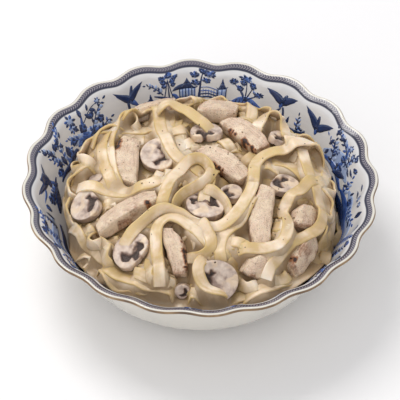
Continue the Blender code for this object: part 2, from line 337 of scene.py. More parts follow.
def face_outwards(mesh):
    """Turns the faces of a closed mesh outwards."""
    work = bmesh.new()
    work.from_mesh(mesh)
    bmesh.ops.recalc_face_normals(work, faces=work.faces)
    work.to_mesh(mesh)
    work.free()


def plain_mesh(name, points, faces, pose=None, **attributes):
    """A smooth mesh in metres from points in millimetres. Each attribute is a list of numbers or
    of vectors, one for each point."""
    mesh = bpy.data.meshes.new(name)
    mesh.from_pydata([(pose @ Vector(p) if pose else Vector(p)) * MM for p in points], [], faces)
    for label, values in attributes.items():
        vector = hasattr(values[0], "__len__")
        made = mesh.attributes.new(label, "FLOAT_VECTOR" if vector else "FLOAT", "POINT")
        flat = np.array(values, dtype=np.float32).ravel()
        made.data.foreach_set("vector" if vector else "value", flat)
    face_outwards(mesh)
    mesh.shade_smooth()
    return mesh


def attribute(tree, label, output="Fac"):
    """A piece's own attribute, read in its material."""
    return node(tree, "ShaderNodeAttribute", attribute_name=label).outputs[output]


def own_place(tree):
    """Each point's place on the object."""
    return node(tree, "ShaderNodeTexCoord").outputs["Object"]


def brush(tone, *points):
    """One stroke. Its points are degrees round the bowl, depth below the rim's edge, and width."""
    strokes.append((tone, points))


def each(draw, *rows):
    """Draws a row of the same thing."""
    for row in rows:
        draw(*row)


def moved(angle, depth, over, up):
    """A place that lies a way over to the right and up, in millimetres."""
    return angle - over / PER_DEGREE, depth - up


def oval(tone, angle, depth, half, high, tip=0.4, sag=0.0):
    """A solid oval. Half its width is in degrees."""
    brush(tone, (angle + half, depth, tip), (angle, depth + sag, high), (angle - half, depth, tip))


def leaf(tone, angle, depth, turn, length, width):
    """A pointed leaf that grows from a place. Turn 0 points right, and 90 up to the rim."""
    over, up = length * math.cos(math.radians(turn)), length * math.sin(math.radians(turn))
    shape = ((0, 0.15), (0.3, 0.85), (0.55, 1), (0.8, 0.6), (1, 0.1))
    brush(tone, *[(*moved(angle, depth, t * over, t * up), w * width) for t, w in shape])


def dark_leaf(*shape):
    """A leaf in the darkest blue."""
    leaf(DARK, *shape)


def spray(angle, depth, turn, length, pairs, size, bend=0, tone=DARK):
    """A stem with pairs of leaves, which shrink towards its tip."""
    stem = []
    joints = 2 * pairs
    for i in range(joints + 1):
        shrink = 1 - 0.35 * i / joints
        stem.append((angle, depth, shrink))
        if i:
            side = (50 if i % 2 else -50) + ink.uniform(-10, 10)
            paint = tone if ink.random() < 0.7 else BLUE
            leaf(paint, angle, depth, turn + side, size * shrink, 0.52 * size * shrink)
            if i % 2:
                leaf(WASH, angle, depth, turn - side, 1.2 * size * shrink, 0.8 * size * shrink)
        turn += bend / joints
        angle -= length / joints * math.cos(math.radians(turn)) / PER_DEGREE
        depth -= length / joints * math.sin(math.radians(turn))
    leaf(tone, angle, depth, turn, 0.7 * size, 0.34 * size)
    brush(tone, *stem)


def tuft(angle, depth, wide, high, count=12):
    """A clump of foliage: short leaves round a solid oval, over a pale wash."""
    oval(WASH, angle, depth, wide / 3.6, 1.4 * high, sag=0.5)
    oval(BLUE, angle, depth, wide / 5, 0.8 * high)
    for i in range(count):
        turn = 360 * (i + ink.random()) / count
        reach = 0.08 + 0.2 * ink.random()
        over, up = wide * math.cos(math.radians(turn)), high * math.sin(math.radians(turn))
        tone = DARK if ink.random() < 0.62 else BLUE
        spot = moved(angle, depth, reach * over, reach * up)
        leaf(tone, *spot, turn, 0.42 * math.hypot(over, up), 0.8 * high**0.7)


def flower(angle, depth, size):
    """An open flower: a ring of petals round a pale middle."""
    oval(WASH, angle, depth, size / 5, 0.7 * size, tip=0.3)
    for i in range(7):
        turn = 360 * i / 7 + ink.uniform(-9, 9)
        over = math.cos(math.radians(turn)) * 0.2 * size
        up = math.sin(math.radians(turn)) * 0.2 * size
        leaf((DARK, BLUE)[i % 2], *moved(angle, depth, over, up), turn, 0.34 * size, 0.24 * size)


def pavilion(angle, depth, wide, high, posts):
    """A garden pavilion with upturned eaves over posts, standing at a depth."""
    half = wide / 2 / PER_DEGREE
    eaves, ridge, peak = depth - 0.50 * high, depth - 0.74 * high, depth - high
    wall = depth - 0.25 * high
    brush(WASH, *[(angle + side * half, wall, 0.42 * high) for side in (0.8, -0.8)])
    line = ((1.15, -0.9, 0.3), (0.8, 0, 1.1), (0, -0.3, 1.5), (-0.8, 0, 1.1), (-1.15, -0.9, 0.3))
    brush(DARK, *[(angle + side * half, eaves + down, broad) for side, down, broad in line])
    roof = ((eaves, 0.84), ((eaves + ridge) / 2, 0.56), (ridge, 0.30))
    brush(DARK, *[(angle, level, broad * wide) for level, broad in roof])
    top = ((ridge + 0.3, 0.42 * wide), (ridge - 0.08 * high, 0.22 * wide), (peak, 0.2))
    brush(DARK, *[(angle, level, broad) for level, broad in top])
    for i in range(posts):
        at = angle + half * 0.84 * (1 - 2 * i / (posts - 1))
        brush((DARK, BLUE)[i % 2], (at, eaves, 0.8), (at, depth, 0.8))
    line = ((1.05, 0, 1.2), (0, 0.2, 1.5), (-1.05, 0, 1.2))
    brush(DARK, *[(angle + side * half, depth + down, broad) for side, down, broad in line])


def bird(angle, depth, left, right, head, tail):
    """A flying bird. Both wings, the head and the tail are offsets in millimetres, right and up."""

    def part(way, share):
        return moved(angle, depth, share * way[0], share * way[1])

    for wing in (left, right):
        for back, tone, broad in ((0.0, DARK, 4.8), (1.3, BLUE, 2.6)):
            shape = (
                (1 - 0.1 * back, 0.2), (0.78, 0.42 * broad), (0.5, 0.85 * broad),
                (0.2, 1.15 * broad),
            )
            line = [(*part(wing, share), wide) for share, wide in shape]
            line = [(a, d + back, wide) for a, d, wide in line]
            brush(tone, *line, (angle, depth + back, 0.8 * broad))
    brush(DARK, (*part(head, 1), 1.4), (*part(head, 0.7), 2.6), (angle, depth, 3.4))
    brush(BLUE, (angle, depth, 4.4), (*part(tail, 0.5), 3.4), (*part(tail, 1), 1.2))


# The garden at the back, and again at the front: tree, pavilion, tall tree, bridge, small
# pavilion, and a tree on a mound.
for root in ((102.8, 25.5, 1.4), (104.8, 24.5, 0.8), (101.4, 24, 0.7)):
    brush(DARK, root, ((root[0] + 103) / 2, 18, 0.8), (103, 11, 0.5))
each(
    tuft, (102.6, 8, 4.6, 3.6), (105, 10, 4.4, 2.8), (100.4, 10.2, 4.8, 2.2), (104.7, 12.8, 4, 2.8),
    (101.3, 12.4, 4, 3), (104.6, 15.6, 3.2, 2.2), (101, 15.2, 3.2, 2.2),
)
spray(105.2, 21.5, 128, 12, 3, 3.4, bend=34)
brush(DARK, (108.6, 22.4, 0.8), (105, 23.6, 2), (101.5, 26, 3), (98, 27.8, 1.4))
tuft(110.2, 25.6, 4.4, 3.6)
leaf(DARK, 110, 27, 90, 6.5, 2.2)
pavilion(95.7, 26, 14, 13, 6)
brush(DARK, (101.4, 19.8, 0.4), (100, 18.6, 2.6), (98, 18, 3), (96, 17.6, 2))
brush(BLUE, (101.8, 21.5, 0.5), (100.4, 23.5, 2.6), (99.4, 26.5, 3))
brush(DARK, (91.4, 26.5, 1.8), (90.8, 19, 1.3), (90.4, 13, 1), (89.8, 8.5, 0.6))
each(
    tuft, (87.7, 8.4, 9.6, 3.4, 11), (92.7, 10.7, 6.4, 3.2, 11), (88.5, 13.4, 5.8, 2.8, 11),
    (92.5, 15.9, 6.2, 3.4, 11), (90.2, 7.8, 4, 2.4, 11),
)
for rail, width in ((18.8, 0.6), (21.2, 0.7), (23.2, 1), (25.4, 1.3)):
    line = ((91.2, rail + 0.6), (87.6, rail - 0.9), (84, rail + 0.6))
    brush(BLUE if width < 1 else DARK, *[(*spot, width) for spot in line])
for i in range(7):
    brush(BLUE, (90.7 - i * 1.05, 19.6, 0.5), (90.7 - i * 1.05, 25, 0.5))
pavilion(82.4, 25.6, 7.4, 14.2, 3)
brush(DARK, (84.6, 26.4, 1.2), (81, 26.8, 1.8), (77.5, 27.8, 0.8))
for end in ((73.6, 11), (78.6, 14.2), (70.6, 13.2), (67.6, 17.4), (75.9, 17.6)):
    middle = ((73.3 + end[0]) / 2 - 0.2, (22 + end[1]) / 2 + 1, 0.8)
    brush(DARK, (73.3, 25, 1.2), middle, (*end, 0.4))
each(
    tuft, (74, 10.3, 8.4, 2.8, 11), (78.4, 13.5, 6.2, 3, 11), (74.7, 13.5, 4.6, 3, 11),
    (71, 13.2, 4.8, 4, 11), (75.7, 17.5, 5, 3, 11), (68.4, 17.4, 7.4, 2.8, 11),
)
brush(BLUE, (78.5, 27.4, 1), (75.5, 25.6, 4.4), (72, 24.8, 6.6), (68.5, 26, 5), (65, 28.2, 1.4))
for i in range(7):
    brush(DARK, (76.4 - 1.3 * i, 22.8 + 0.5 * abs(i - 3), 0.4), (76.9 - 1.4 * i, 27.6, 1))
brush(DARK, (78.4, 28.2, 1.2), (72, 28.8, 2), (65.2, 29.2, 1))
strokes += [(tone, [(a + 180, d, w) for a, d, w in points]) for tone, points in strokes]

# The birds.
bird(118.2, 19.5, (-12.5, 8.8), (12.2, 8.6), (3.4, 8.8), (5.6, -6))
brush(DARK, (119.4, 20, 2.2), (119.4, 29, 2.4))
bird(58.6, 18.4, (-13.8, 8), (12, 7.6), (2.4, 6), (-1, -4))
bird(40.9, 21.5, (-15, 12), (14.4, 11), (-2.2, 8.6), (0.4, -4))
bird(174.4, 17, (-17, 3.4), (11, 6.4), (-4.6, 7.4), (10, -11))
brush(DARK, (176.5, 12, 5), (174, 15, 9), (172.6, 20, 7), (173.5, 24, 4))
brush(BLUE, (177.5, 17, 1), (179.5, 20.6, 2.4), (183.4, 21.4, 0.5))
brush(DARK, (166.4, 27.4, 0.8), (169.6, 29.4, 3.6), (174, 33, 8), (177.5, 36, 6), (180.5, 39, 2))
bird(304, 18, (-14.5, 8), (14, 10), (3, 8), (-8, -6))
bird(233, 19, (-14, 10), (14.5, 7), (-2, 9), (6, -7))
brush(DARK, (57.8, 21, 1.6), (57, 24.5, 1.8), (56.6, 29, 2.4))
brush(DARK, (61.2, 26, 0.8), (59.6, 24.6, 1.6), (58.6, 22, 1.4))
leaf(DARK, 54.4, 31, 84, 7, 2.6)
brush(DARK, (53.6, 31.2, 1.2), (49.6, 30.8, 3), (45.8, 29.4, 3), (45.4, 26.8, 1))
tuft(47.6, 28.8, 6, 4.4)
spray(49.2, 28.6, 98, 7.5, 2, 4)

# Sprays and flowers, from the back left round to the front left.
brush(WASH, (148, 27, 2), (143, 26, 8), (137, 27, 8), (131, 29, 3))
brush(BLUE, (147, 29.5, 1), (142, 28.5, 5), (136, 29, 5.6), (129.5, 30.5, 2))
brush(
    DARK, (165, 34.5, 1.2), (160, 32.4, 3.4), (155, 32.6, 4.4), (149, 30.6, 3.4), (147.6, 30.8, 1),
)
brush(WASH, (33, 27, 2), (28, 25, 9), (22, 24, 12), (17, 24, 8), (12, 25, 2))
brush(BLUE, (34, 31, 1), (29, 29.5, 3), (24, 30.5, 4.4), (18, 32, 4), (12, 33, 2))
brush(BLUE, (23, 12, 1), (22, 16, 2.4), (21.6, 22, 3), (21.8, 30, 3.4))
brush(DARK, (22, 36, 1.5), (13, 38, 4.6), (3, 39, 6.4), (-8, 38.5, 5), (-18, 39, 2))
brush(BLUE, (12, 32, 2), (4, 33, 6), (-5, 33, 6.6), (-14, 34, 4), (-24, 36, 2))
brush(WASH, (8, 26, 2), (0, 27, 9), (-10, 27, 9), (-20, 29, 4))
brush(DARK, (218, 36, 1.5), (208, 37, 4.6), (196, 38, 5.4), (187, 39, 3))
brush(WASH, (214, 24, 3), (206, 25, 10), (197, 26, 10), (188, 28, 4))
each(
    dark_leaf, (163.4, 12.4, 120, 4.6, 3.4), (161.2, 17, 110, 5, 3.4), (159.2, 15.4, 80, 6.4, 3.8),
    (155.8, 13.4, 96, 4.6, 3.4), (153.6, 13, 60, 4.4, 2.8), (156.2, 15, -40, 6, 3),
    (153.4, 29.4, 84, 8.6, 6), (160.8, 28, 78, 6.4, 4), (157.4, 30, 100, 9, 4.4),
    (23.6, 33.5, 24, 20, 4.6), (31.4, 8.6, 10, 4.6, 3.4), (28.6, 12.6, 30, 5, 3.4),
    (31.8, 20.4, 60, 6.4, 3), (31.6, 28.4, 66, 5.6, 3.2),
)
spray(139.5, 28, 40, 24, 4, 4.8, bend=-6)
brush(BLUE, (141.8, 31, 3.2), (141.8, 24, 3), (141.2, 17, 2.4), (140.5, 12, 1.4), (140.2, 7.4, 0.7))
each(
    dark_leaf, (140.8, 12.5, 86, 7, 3.4), (138.6, 12, -52, 8.4, 3.2), (136.8, 11.8, 72, 4.6, 2.6),
    (135.8, 12.6, -30, 6.6, 2.8), (143.4, 20, 140, 6, 2.8),
)
brush(DARK, (140.6, 17, 0.8), (136.4, 12.8, 0.7), (131.2, 12, 0.5))
each(
    flower, (145.4, 11.4, 9.4), (145.4, 16.8, 7.4), (131, 11.4, 5), (21.6, 11.6, 5.6),
    (18.2, 12.8, 5), (20.8, 16.4, 4.6), (-1.6, 14.6, 5.6), (-5.4, 12.2, 4.8), (-22.8, 8.2, 4.2),
    (26.4, 20.4, 4.4),
)
each(
    tuft, (132, 22.8, 5.4, 4.4), (141.5, 20, 6, 6), (140.4, 28, 15, 6), (147.6, 24.6, 6, 4),
    (135.6, 16.2, 4.6, 3.6), (157.6, 12.6, 7, 3.6), (151.6, 29.6, 7, 5), (162.6, 29.6, 7, 5),
    (178, 27.4, 10, 7), (171.6, 29.4, 11, 6), (184, 25.4, 4, 6), (210.6, 7.8, 5.4, 3.4),
    (201.6, 9.8, 7.4, 4.4), (198.4, 13.2, 8.4, 4.4), (222, 8.8, 5.6, 3.6), (218.4, 11.8, 6.4, 3.4),
    (22, 21, 6, 3.6), (21.4, 28, 8, 6), (15.2, 8.6, 4, 3), (11.6, 12.8, 5, 3), (2.6, 27.6, 6, 5),
    (-34.6, 9.2, 6.6, 4.2), (-42, 9.6, 9.4, 6.4), (-26, 10.6, 4.6, 4.8),
)
for row in (
    (143.5, 27.5, 152, 13, 3, 4.2), (136, 31, 18, 15, 3, 4.8), (160.4, 19, 126, 12, 3, 4.2),
    (159.4, 15.4, 36, 16, 4, 4.2), (159, 28, 128, 11, 3, 4.6), (156.8, 31.5, 27, 13, 3, 5),
    (157.8, 31, 76, 15, 2, 5.4), (176, 33.5, 62, 13, 3, 5.6), (199, 13, 27, 13, 3, 4.4),
    (199, 33, 95, 16, 4, 5.4), (206, 33, 100, 20, 5, 5), (213.5, 30.5, 100, 18, 4, 5),
    (192, 31, 100, 16, 4, 4.6), (221, 27, 82, 14, 4, 4.6), (22, 17, 152, 19, 4, 4.2),
    (26.4, 31.5, 112, 18, 3, 4.8), (25.6, 22.6, 160, 14, 2, 4.4), (19.8, 24, 68, 15, 4, 4.6),
    (9.6, 33.5, 96, 12, 2, 5.2), (5.4, 32, 17, 32, 6, 6.4), (-18, 31, 66, 21, 5, 5.4),
    (-25, 33.5, 80, 18, 4, 5.4), (-37.5, 31, 80, 18, 4, 5.6), (-47, 30, 96, 18, 5, 5),
):
    spray(*row, tone=ink.choice((DARK, BLUE)))
each(
    dark_leaf, (22.6, 33.5, 30, 17, 3.4), (14.8, 16.6, -14, 7.4, 2.4), (17, 19.8, -8, 8.4, 2.4),
    (4.6, 12.4, -8, 6.4, 2), (3.6, 17.6, 0, 7.4, 2.2), (-9.4, 18.6, 84, 8.8, 4.2),
    (-16, 10.6, 6, 7.4, 2.4), (-7.2, 25, -20, 8, 2.4), (5.6, 25.8, 60, 5, 2.4),
    (214.6, 12, -76, 8, 3.4), (193, 15.6, -80, 14, 3.4), (188.6, 20, -76, 12, 3.2),
    (208, 9.6, -45, 4.6, 2.2), (12.4, 28, 30, 6, 2.6),
)


def print_mesh():
    """Every stroke as a thin closed film that follows the wall."""
    points, faces, tones = [], [], []
    for tone, route in strokes:
        track = along_route([((90 - a) * PER_DEGREE, d, w) for a, d, w in route], 1.3)
        ahead = np.gradient(track[:, :2], axis=0)
        ahead /= np.maximum(np.hypot(*ahead.T), 1e-6)[:, None]
        columns = 2 + int(track[:, 2].max() / 2.2)
        proud = 0.13 - 0.05 * tone + ink.uniform(0, 0.015)
        first = len(points)
        for (x, y, wide), (ahead_x, ahead_y) in zip(track, ahead):
            for layer in (proud, FILM_SUNK):
                for column in range(columns):
                    off = max(wide, FINEST) * (column / (columns - 1) - 0.5)
                    angle, depth = 90 - (x - ahead_y * off) / PER_DEGREE, y + ahead_x * off
                    share = 1 - (depth - RIM_WIDTH / 2) / WALL_LENGTH
                    radius, height, slope = wall_line(share)
                    radius -= layer * math.sin(slope)
                    height += layer * math.cos(slope)
                    points.append(bowl_point(math.radians(angle), radius, height))
                    tones.append(tone)
        row = 2 * columns
        ring = list(range(columns)) + list(range(row - 1, columns - 1, -1))
        for i in range(len(track) - 1):
            low, high = first + i * row, first + (i + 1) * row
            for a, b in zip(ring, ring[1:] + ring[:1]):
                faces.append((low + a, low + b, high + b, high + a))
        for start in (first, first + (len(track) - 1) * row):
            for a in range(start, start + columns - 1):
                faces.append((a, a + 1, columns + a + 1, columns + a))
    return plain_mesh("blue_print", points, faces, tone=tones)


def cobalt():
    """Cobalt under a clear glaze, uneven as a wash is."""
    settings = {"Coat_Weight": 0.4, "Coat_Roughness": 0.05, "IOR": 1.5}
    made, tree, shader = new_material("cobalt print", 0.14, **settings)
    tone = ruffled(tree, attribute(tree, "tone"), cloudy(tree, own_place(tree), 260.0, 3.0), 0.5)
    inks = (
        (0.0, (0.010, 0.028, 0.10)),
        (0.45, (0.030, 0.085, 0.32)),
        (0.62, (0.075, 0.16, 0.43)),
        (1.0, (0.33, 0.42, 0.64)),
    )
    connect(tree, shader, ramp(tree, tone, *inks))
    return made


place("blue_print", print_mesh(), cobalt(), "glazed_china")

# --- Heap's form --------------------------------------------------------------------------------
# What the food is heaped into: flat-topped, with a steep shoulder that meets the wall below the
# rim. The toppings, the strands and the sauce all take their places from it.

PILE_PEAK = 76.0
PILE_CONTACT = 38.0
PILE_SHOULDER = 5.0
PILE_DROP = 0.45


def wall_share_at(height):
    """The share of the wall's run at which it reaches a height."""
    low, high = 0.0, 1.0
    while high - low > 1e-6:
        middle = (low + high) / 2
        low, high = (middle, high) if wall_line(middle)[1] < height else (low, middle)
    return low


PILE_EDGE = wall_line(wall_share_at(PILE_CONTACT))[0] - 0.35 - lobe_depth(PILE_CONTACT)


def pile_height(x, y):
    """Height of the heap's smooth surface."""
    share = min(1.0, math.hypot(x, y) / PILE_EDGE)
    return PILE_CONTACT + (PILE_PEAK - PILE_CONTACT) * (1 - share**PILE_SHOULDER) ** PILE_DROP


def pile_normal(x, y):
    """Which way the heap's surface faces."""
    step = 4.0
    slope_x = (pile_height(x + step, y) - pile_height(x - step, y)) / (2 * step)
    slope_y = (pile_height(x, y + step) - pile_height(x, y - step)) / (2 * step)
    return Vector((-slope_x, -slope_y, 1)).normalized()


def pose_on_pile(spot, lift, turns):
    """A pose in millimetres that lies along the heap's surface, lifted off it and turned."""
    up = pile_normal(*spot)
    lean = Vector((0, 0, 1)).rotation_difference(up).to_matrix().to_4x4()
    turned = Euler([math.radians(turn) for turn in turns], "XYZ").to_matrix().to_4x4()
    return Matrix.Translation(Vector((*spot, pile_height(*spot))) + up * lift) @ lean @ turned


# --- Chicken ------------------------------------------------------------------------------------
# Breast meat, grilled whole and then cut into strips and chunks. The cut faces are pale with
# fibres along them, and the grilled sides are browned, with a few char marks on their edges.

# Name, centre in plan, lift, (length, width, thickness), (roll, pitch, turn), then which long
# side is browned and which end (-1, 0 or 1), how brown it is overall, and char marks along the
# browned edge as shares of the length.
CHICKEN = [
    (
        "upright_left", (-47, 13), -1.5, (37, 16, 12), (8, -8, 88), 1, 1, 0.25,
        (0.24, 0.30, 0.36, 0.41),
    ),
    ("long_left", (-47, -33.5), -1.0, (46, 14, 12), (-14, 0, 33), -1, 0, 0.35, (0.3,)),
    (
        "front_middle", (-16.5, -64.5), -1.5, (33, 12, 11), (6, 6, -76), 1, 1, 0.0,
        (-0.12, 0.08, 0.2, 0.3, 0.4),
    ),
    (
        "grilled_centre", (14.5, 10.5), -1.0, (39, 15, 11), (16, 0, -42), -1, 0, 0.1,
        (-0.42, -0.34, -0.14, -0.08, 0.04, 0.12),
    ),
    (
        "grilled_back", (28.5, 38.5), -1.0, (36, 15, 11), (14, 0, -47), -1, 1, 0.15,
        (-0.22, -0.15, -0.08, 0.16, 0.24, 0.36, 0.43),
    ),
    (
        "upright_right", (41.5, -36), -0.5, (46, 15, 11), (-4, -9, 86), 1, -1, 0.1,
        (0.14, 0.2, 0.27, 0.33, 0.38),
    ),
    ("chunk_right", (68, -30), -2.5, (18, 17, 15), (6, 6, 14), -1, 1, 0.55, (0.3,)),
    ("chunk_edge", (68, -53), -2.0, (29, 15, 12), (0, 0, 64), 1, -1, 0.75, (-0.3,)),
    ("chunk_front", (38, -71), -2.0, (18, 15, 12), (0, 6, -6), -1, 1, 0.3, (0.38,)),
    ("chunk_back", (10.5, 62.5), -0.5, (26, 17, 12), (-6, 4, 4), 1, -1, 0.3, (-0.15, 0.0)),
    ("strip_back", (-33, 69), -1.0, (34, 13, 11), (-6, 0, 20), 1, 0, 0.5, (0.1,)),
]
CHICKEN_BOXINESS = 4.6
CHICKEN_TAPER = 0.32
CHICKEN_BEND = 0.05
CHICKEN_SLANT = 0.3
MEAT_STATIONS = 44
MEAT_FACETS = 36


def within_one(value):
    """A value kept from 0 to 1."""
    return max(0.0, min(1.0, value))


def meat_surface(x, y, z, seed):
    """How far the meat's surface swells at a place: long fibres, knobs and tears."""
    fibre = noise.noise(Vector((x * 0.05, y * 0.9, z * 0.9)) + Vector((seed, 0, 0)))
    knobs = noise.noise(Vector((x, y, z)) * 0.16 + Vector((0, seed, 0)))
    tears = noise.noise(Vector((x * 0.5, y * 0.25, z * 0.25 + seed)))
    return 0.35 * fibre + 0.9 * knobs + 0.25 * tears


def charring(x, inward, length, marks, seed):
    """How burnt a point is, by how near it lies to the char marks along the browned edge."""
    char = -1.0
    for order, mark in enumerate(marks):
        long = 1.3 + 0.8 * math.sin(5 * order + seed)
        deep = 0.9 + 0.4 * math.sin(9 * order + seed)
        near = math.hypot((x / length - mark) * length / long, inward / deep)
        char = max(char, 1.2 - 0.6 * near)
    return char


def meat_strip(size, seed, side, end, brown, marks):
    """One cut piece: points, faces, and for each point its place along the piece and how browned
    and charred it is."""
    length, width, thick = size
    rings, notes = [], []
    # The ends close over a rounded edge onto a cut face.
    closing = (
        (1, 0), (0.985, 0.35), (0.955, 0.62), (0.90, 0.82), (0.78, 0.94), (0.52, 1), (0.24, 1),
    )
    stations = [(-1.0, *c) for c in reversed(closing)]
    stations += [(2 * i / MEAT_STATIONS - 1, 1.0, 0.0) for i in range(1, MEAT_STATIONS)]
    stations += [(1.0, *c) for c in closing]
    power = 2 / CHICKEN_BOXINESS
    for along, draw, push in stations:
        narrow = 1 - CHICKEN_TAPER * abs(along) ** 2.6
        bow = CHICKEN_BEND * length * (1 - along**2)
        ring = []
        for i in range(MEAT_FACETS):
            angle = 2 * math.pi * (i + 0.5) / MEAT_FACETS
            across = math.copysign(abs(math.cos(angle)) ** power, math.cos(angle)) * draw
            up = math.copysign(abs(math.sin(angle)) ** power, math.sin(angle)) * draw
            y = across * 0.5 * width * narrow
            z = up * 0.5 * thick * (narrow if up > 0 else 0.5 + 0.5 * narrow)
            x = 0.5 * (length - 2.0) * along + math.copysign(push, along)
            x += CHICKEN_SLANT * y * abs(along)
            spot = Vector((x, y, z))
            out = Vector((0.0, across, up))
            out = out.normalized() if out.length > 0.3 else out
            swollen = spot + Vector((0, bow, 0)) + out * meat_surface(x, y, z, seed)
            ring.append(swollen - Vector((0, 0, 0.2)))
            patchy = noise.noise(spot * 0.22 + Vector((0, 0, 3 * seed)))
            edge = max(0.0, side * across if side else 0.0)
            tip = max(0.0, end * along if end else 0.0)
            sear = brown + 1.1 * edge**4 + 0.8 * tip**9 + 0.7 * patchy
            char = 0.0
            if up > -0.4:
                inward = (across * side - 0.86) * width * 0.5
                char = charring(x, inward, length, marks, seed) + 0.35 * noise.noise(spot * 0.9)
            notes.append((x, y, z, within_one(sear), within_one(char)))
        rings.append(ring)
    points = [p for ring in rings for p in ring]
    faces = []
    for level in range(len(rings) - 1):
        for i in range(MEAT_FACETS):
            j = (i + 1) % MEAT_FACETS
            low, high = level * MEAT_FACETS, (level + 1) * MEAT_FACETS
            faces.append((low + i, low + j, high + j, high + i))
    faces.append(tuple(range(MEAT_FACETS)))
    faces.append(tuple(range(len(points) - MEAT_FACETS, len(points))))
    return points, faces, notes


def new_group(name, kind, inputs, outputs):
    """A node group with its input and output nodes. An input is a name, a kind and a value."""
    tree = bpy.data.node_groups.new(name, kind)
    if kind == "GeometryNodeTree":
        tree.is_modifier = True
    for label, sort, *value in inputs:
        socket = tree.interface.new_socket(label, in_out="INPUT", socket_type="NodeSocket" + sort)
        if value:
            socket.default_value = value[0]
    for label, sort in outputs:
        tree.interface.new_socket(label, in_out="OUTPUT", socket_type="NodeSocket" + sort)
    return tree, tree.nodes.new("NodeGroupInput").outputs, tree.nodes.new("NodeGroupOutput").inputs


def cream_film():
    """A node group: where thin cream lies on the food, and the colour that it leaves there."""
    inputs = (("Base", "Color"), ("Amount", "Float", 0.5), ("Scale", "Float", 90.0))
    outputs = (("Colour", "Color"), ("Mask", "Float"))
    tree, given, result = new_group("cream film", "ShaderNodeTree", inputs, outputs)
    where = own_place(tree)
    cloud = cloudy(tree, where, given["Scale"], 3.0, Distortion=0.6)
    level = sums(tree, "ADD", cloud, sums(tree, "SUBTRACT", given["Amount"], 0.5))
    mask = steps(tree, level, 0.44, 0.62)
    creams = (0.35, (0.70, 0.53, 0.37)), (0.65, (0.80, 0.635, 0.47))
    cream = ramp(tree, cloudy(tree, where, 260.0), *creams)
    tree.links.new(blended(tree, mask, given["Base"], cream), result["Colour"])
    tree.links.new(mask, result["Mask"])
    return tree


CREAM_FILM = cream_film()


def filmed(tree, base, amount, scale):
    """A colour with cream on it, and the cream's mask."""
    inputs = {"Base": base, "Amount": amount, "Scale": scale}
    group = node(tree, "ShaderNodeGroup", inputs, node_tree=CREAM_FILM)
    return group.outputs["Colour"], group.outputs["Mask"]


def fleshy(name, roughness, weight, radius, scale, **settings):
    """A material that light sinks into."""
    sunk = {"Subsurface_Weight": weight, "Subsurface_Radius": radius, "Subsurface_Scale": scale}
    return new_material(name, roughness, **sunk, **settings)


def grilled_meat():
    """Pale fibrous meat that browns where it was seared and blackens at its char marks."""
    made, tree, shader = fleshy("grilled chicken", 0.5, 0.12, (0.004, 0.002, 0.001), 0.6)
    where = attribute(tree, "local", "Vector")
    along = node(tree, "ShaderNodeMapping", {"Vector": where, "Scale": (0.06, 1.0, 1.0)})
    fibres = cloudy(tree, along.outputs[0], 1.1, 6.0, Roughness=0.7)
    tones = (
        (0.30, (0.32, 0.20, 0.13)),
        (0.40, (0.58, 0.41, 0.29)),
        (0.54, (0.72, 0.54, 0.40)),
        (0.70, (0.82, 0.65, 0.51)),
    )
    flesh = ramp(tree, fibres, *tones)
    browned = ramp(tree, fibres, (0.35, (0.14, 0.055, 0.028)), (0.62, (0.42, 0.22, 0.12)))
    sear = ruffled(tree, attribute(tree, "sear"), cloudy(tree, where, 0.9, 4.0), 1.3)
    colour = blended(tree, steps(tree, sear, 0.35, 1.35), flesh, browned)
    colour, film = filmed(tree, colour, 0.54, 120.0)
    specks = steps(tree, cloudy(tree, where, 1.7), 0.59, 0.68)
    colour = blended(tree, sums(tree, "MULTIPLY", specks, 0.75), colour, (0.15, 0.09, 0.06))
    char = ruffled(tree, attribute(tree, "char"), cloudy(tree, where, 0.8, 3.0), 0.5)
    colour = blended(tree, steps(tree, char, 0.02, 0.45), colour, (0.36, 0.15, 0.065))
    colour = blended(tree, steps(tree, char, 0.48, 0.72), colour, (0.035, 0.014, 0.010))
    roughness = sums(tree, "MULTIPLY_ADD", film, -0.12, 0.52)
    connect(tree, shader, colour, roughness, fibres, 0.6, 0.0007)
    return made


meat_finish = grilled_meat()
topping_meshes = []
for number, (name, spot, lift, size, turns, side, end, brown, marks) in enumerate(CHICKEN):
    points, faces, notes = meat_strip(size, 7.3 * number + 2, side, end, brown, marks)
    kept = {
        "local": [n[:3] for n in notes], "sear": [n[3] for n in notes],
        "char": [n[4] for n in notes]
    }
    mesh = plain_mesh(f"chicken_{name}", points, faces, pose_on_pile(spot, lift, turns), **kept)
    place(f"chicken_{name}_meat", mesh, meat_finish, "chicken", f"chicken_{name}")
    topping_meshes.append(mesh)

# --- Mushrooms ----------------------------------------------------------------------------------
# Button mushrooms sliced from cap to stem and softened in the sauce: pale flesh, a thin tan skin
# round the cap, and dark gills that hang under it beside the stem.

# Name, centre in plan, lift, (cap width, height with stem, thickness), (roll, pitch, turn).
MUSHROOMS = [
    ("upright_left", (-29.5, 17), -0.5, (25, 21, 6), (-6, -12, 106)),
    ("middle", (2, -28), -0.5, (27, 22, 6), (4, 0, 136)),
    ("small_middle", (20.5, -14.5), -1.5, (15, 15, 6), (-10, 0, -32)),
    ("back", (3, 41), -1.0, (22, 18, 6), (-12, 0, 8)),
    ("right", (55.5, -6.5), -1.0, (20, 19, 6), (6, -8, -116)),
    ("back_right", (53, 38.5), -0.5, (17, 18, 6), (-12, 0, -24)),
    ("left", (-75, -21), -1.0, (25, 21, 6), (0, 0, 114)),
    ("front_left", (-45, -60.5), -0.5, (27, 22, 6), (-6, 6, 50)),
    ("front", (12.5, -81), 0.0, (29, 26, 6), (-4, 0, -74)),
    ("small_left", (-67, -2), -1.5, (15, 14, 6), (0, 0, 30)),
    ("small_front", (-11, -85.5), -1.5, (11, 10, 5), (0, 0, 60)),
]
CAP_SHARE = 0.66
CURL_SHARE = 0.15
STEM_SHARE = 0.38
OUTLINE_FACETS = 28
GILL_DEPTH = 2.2
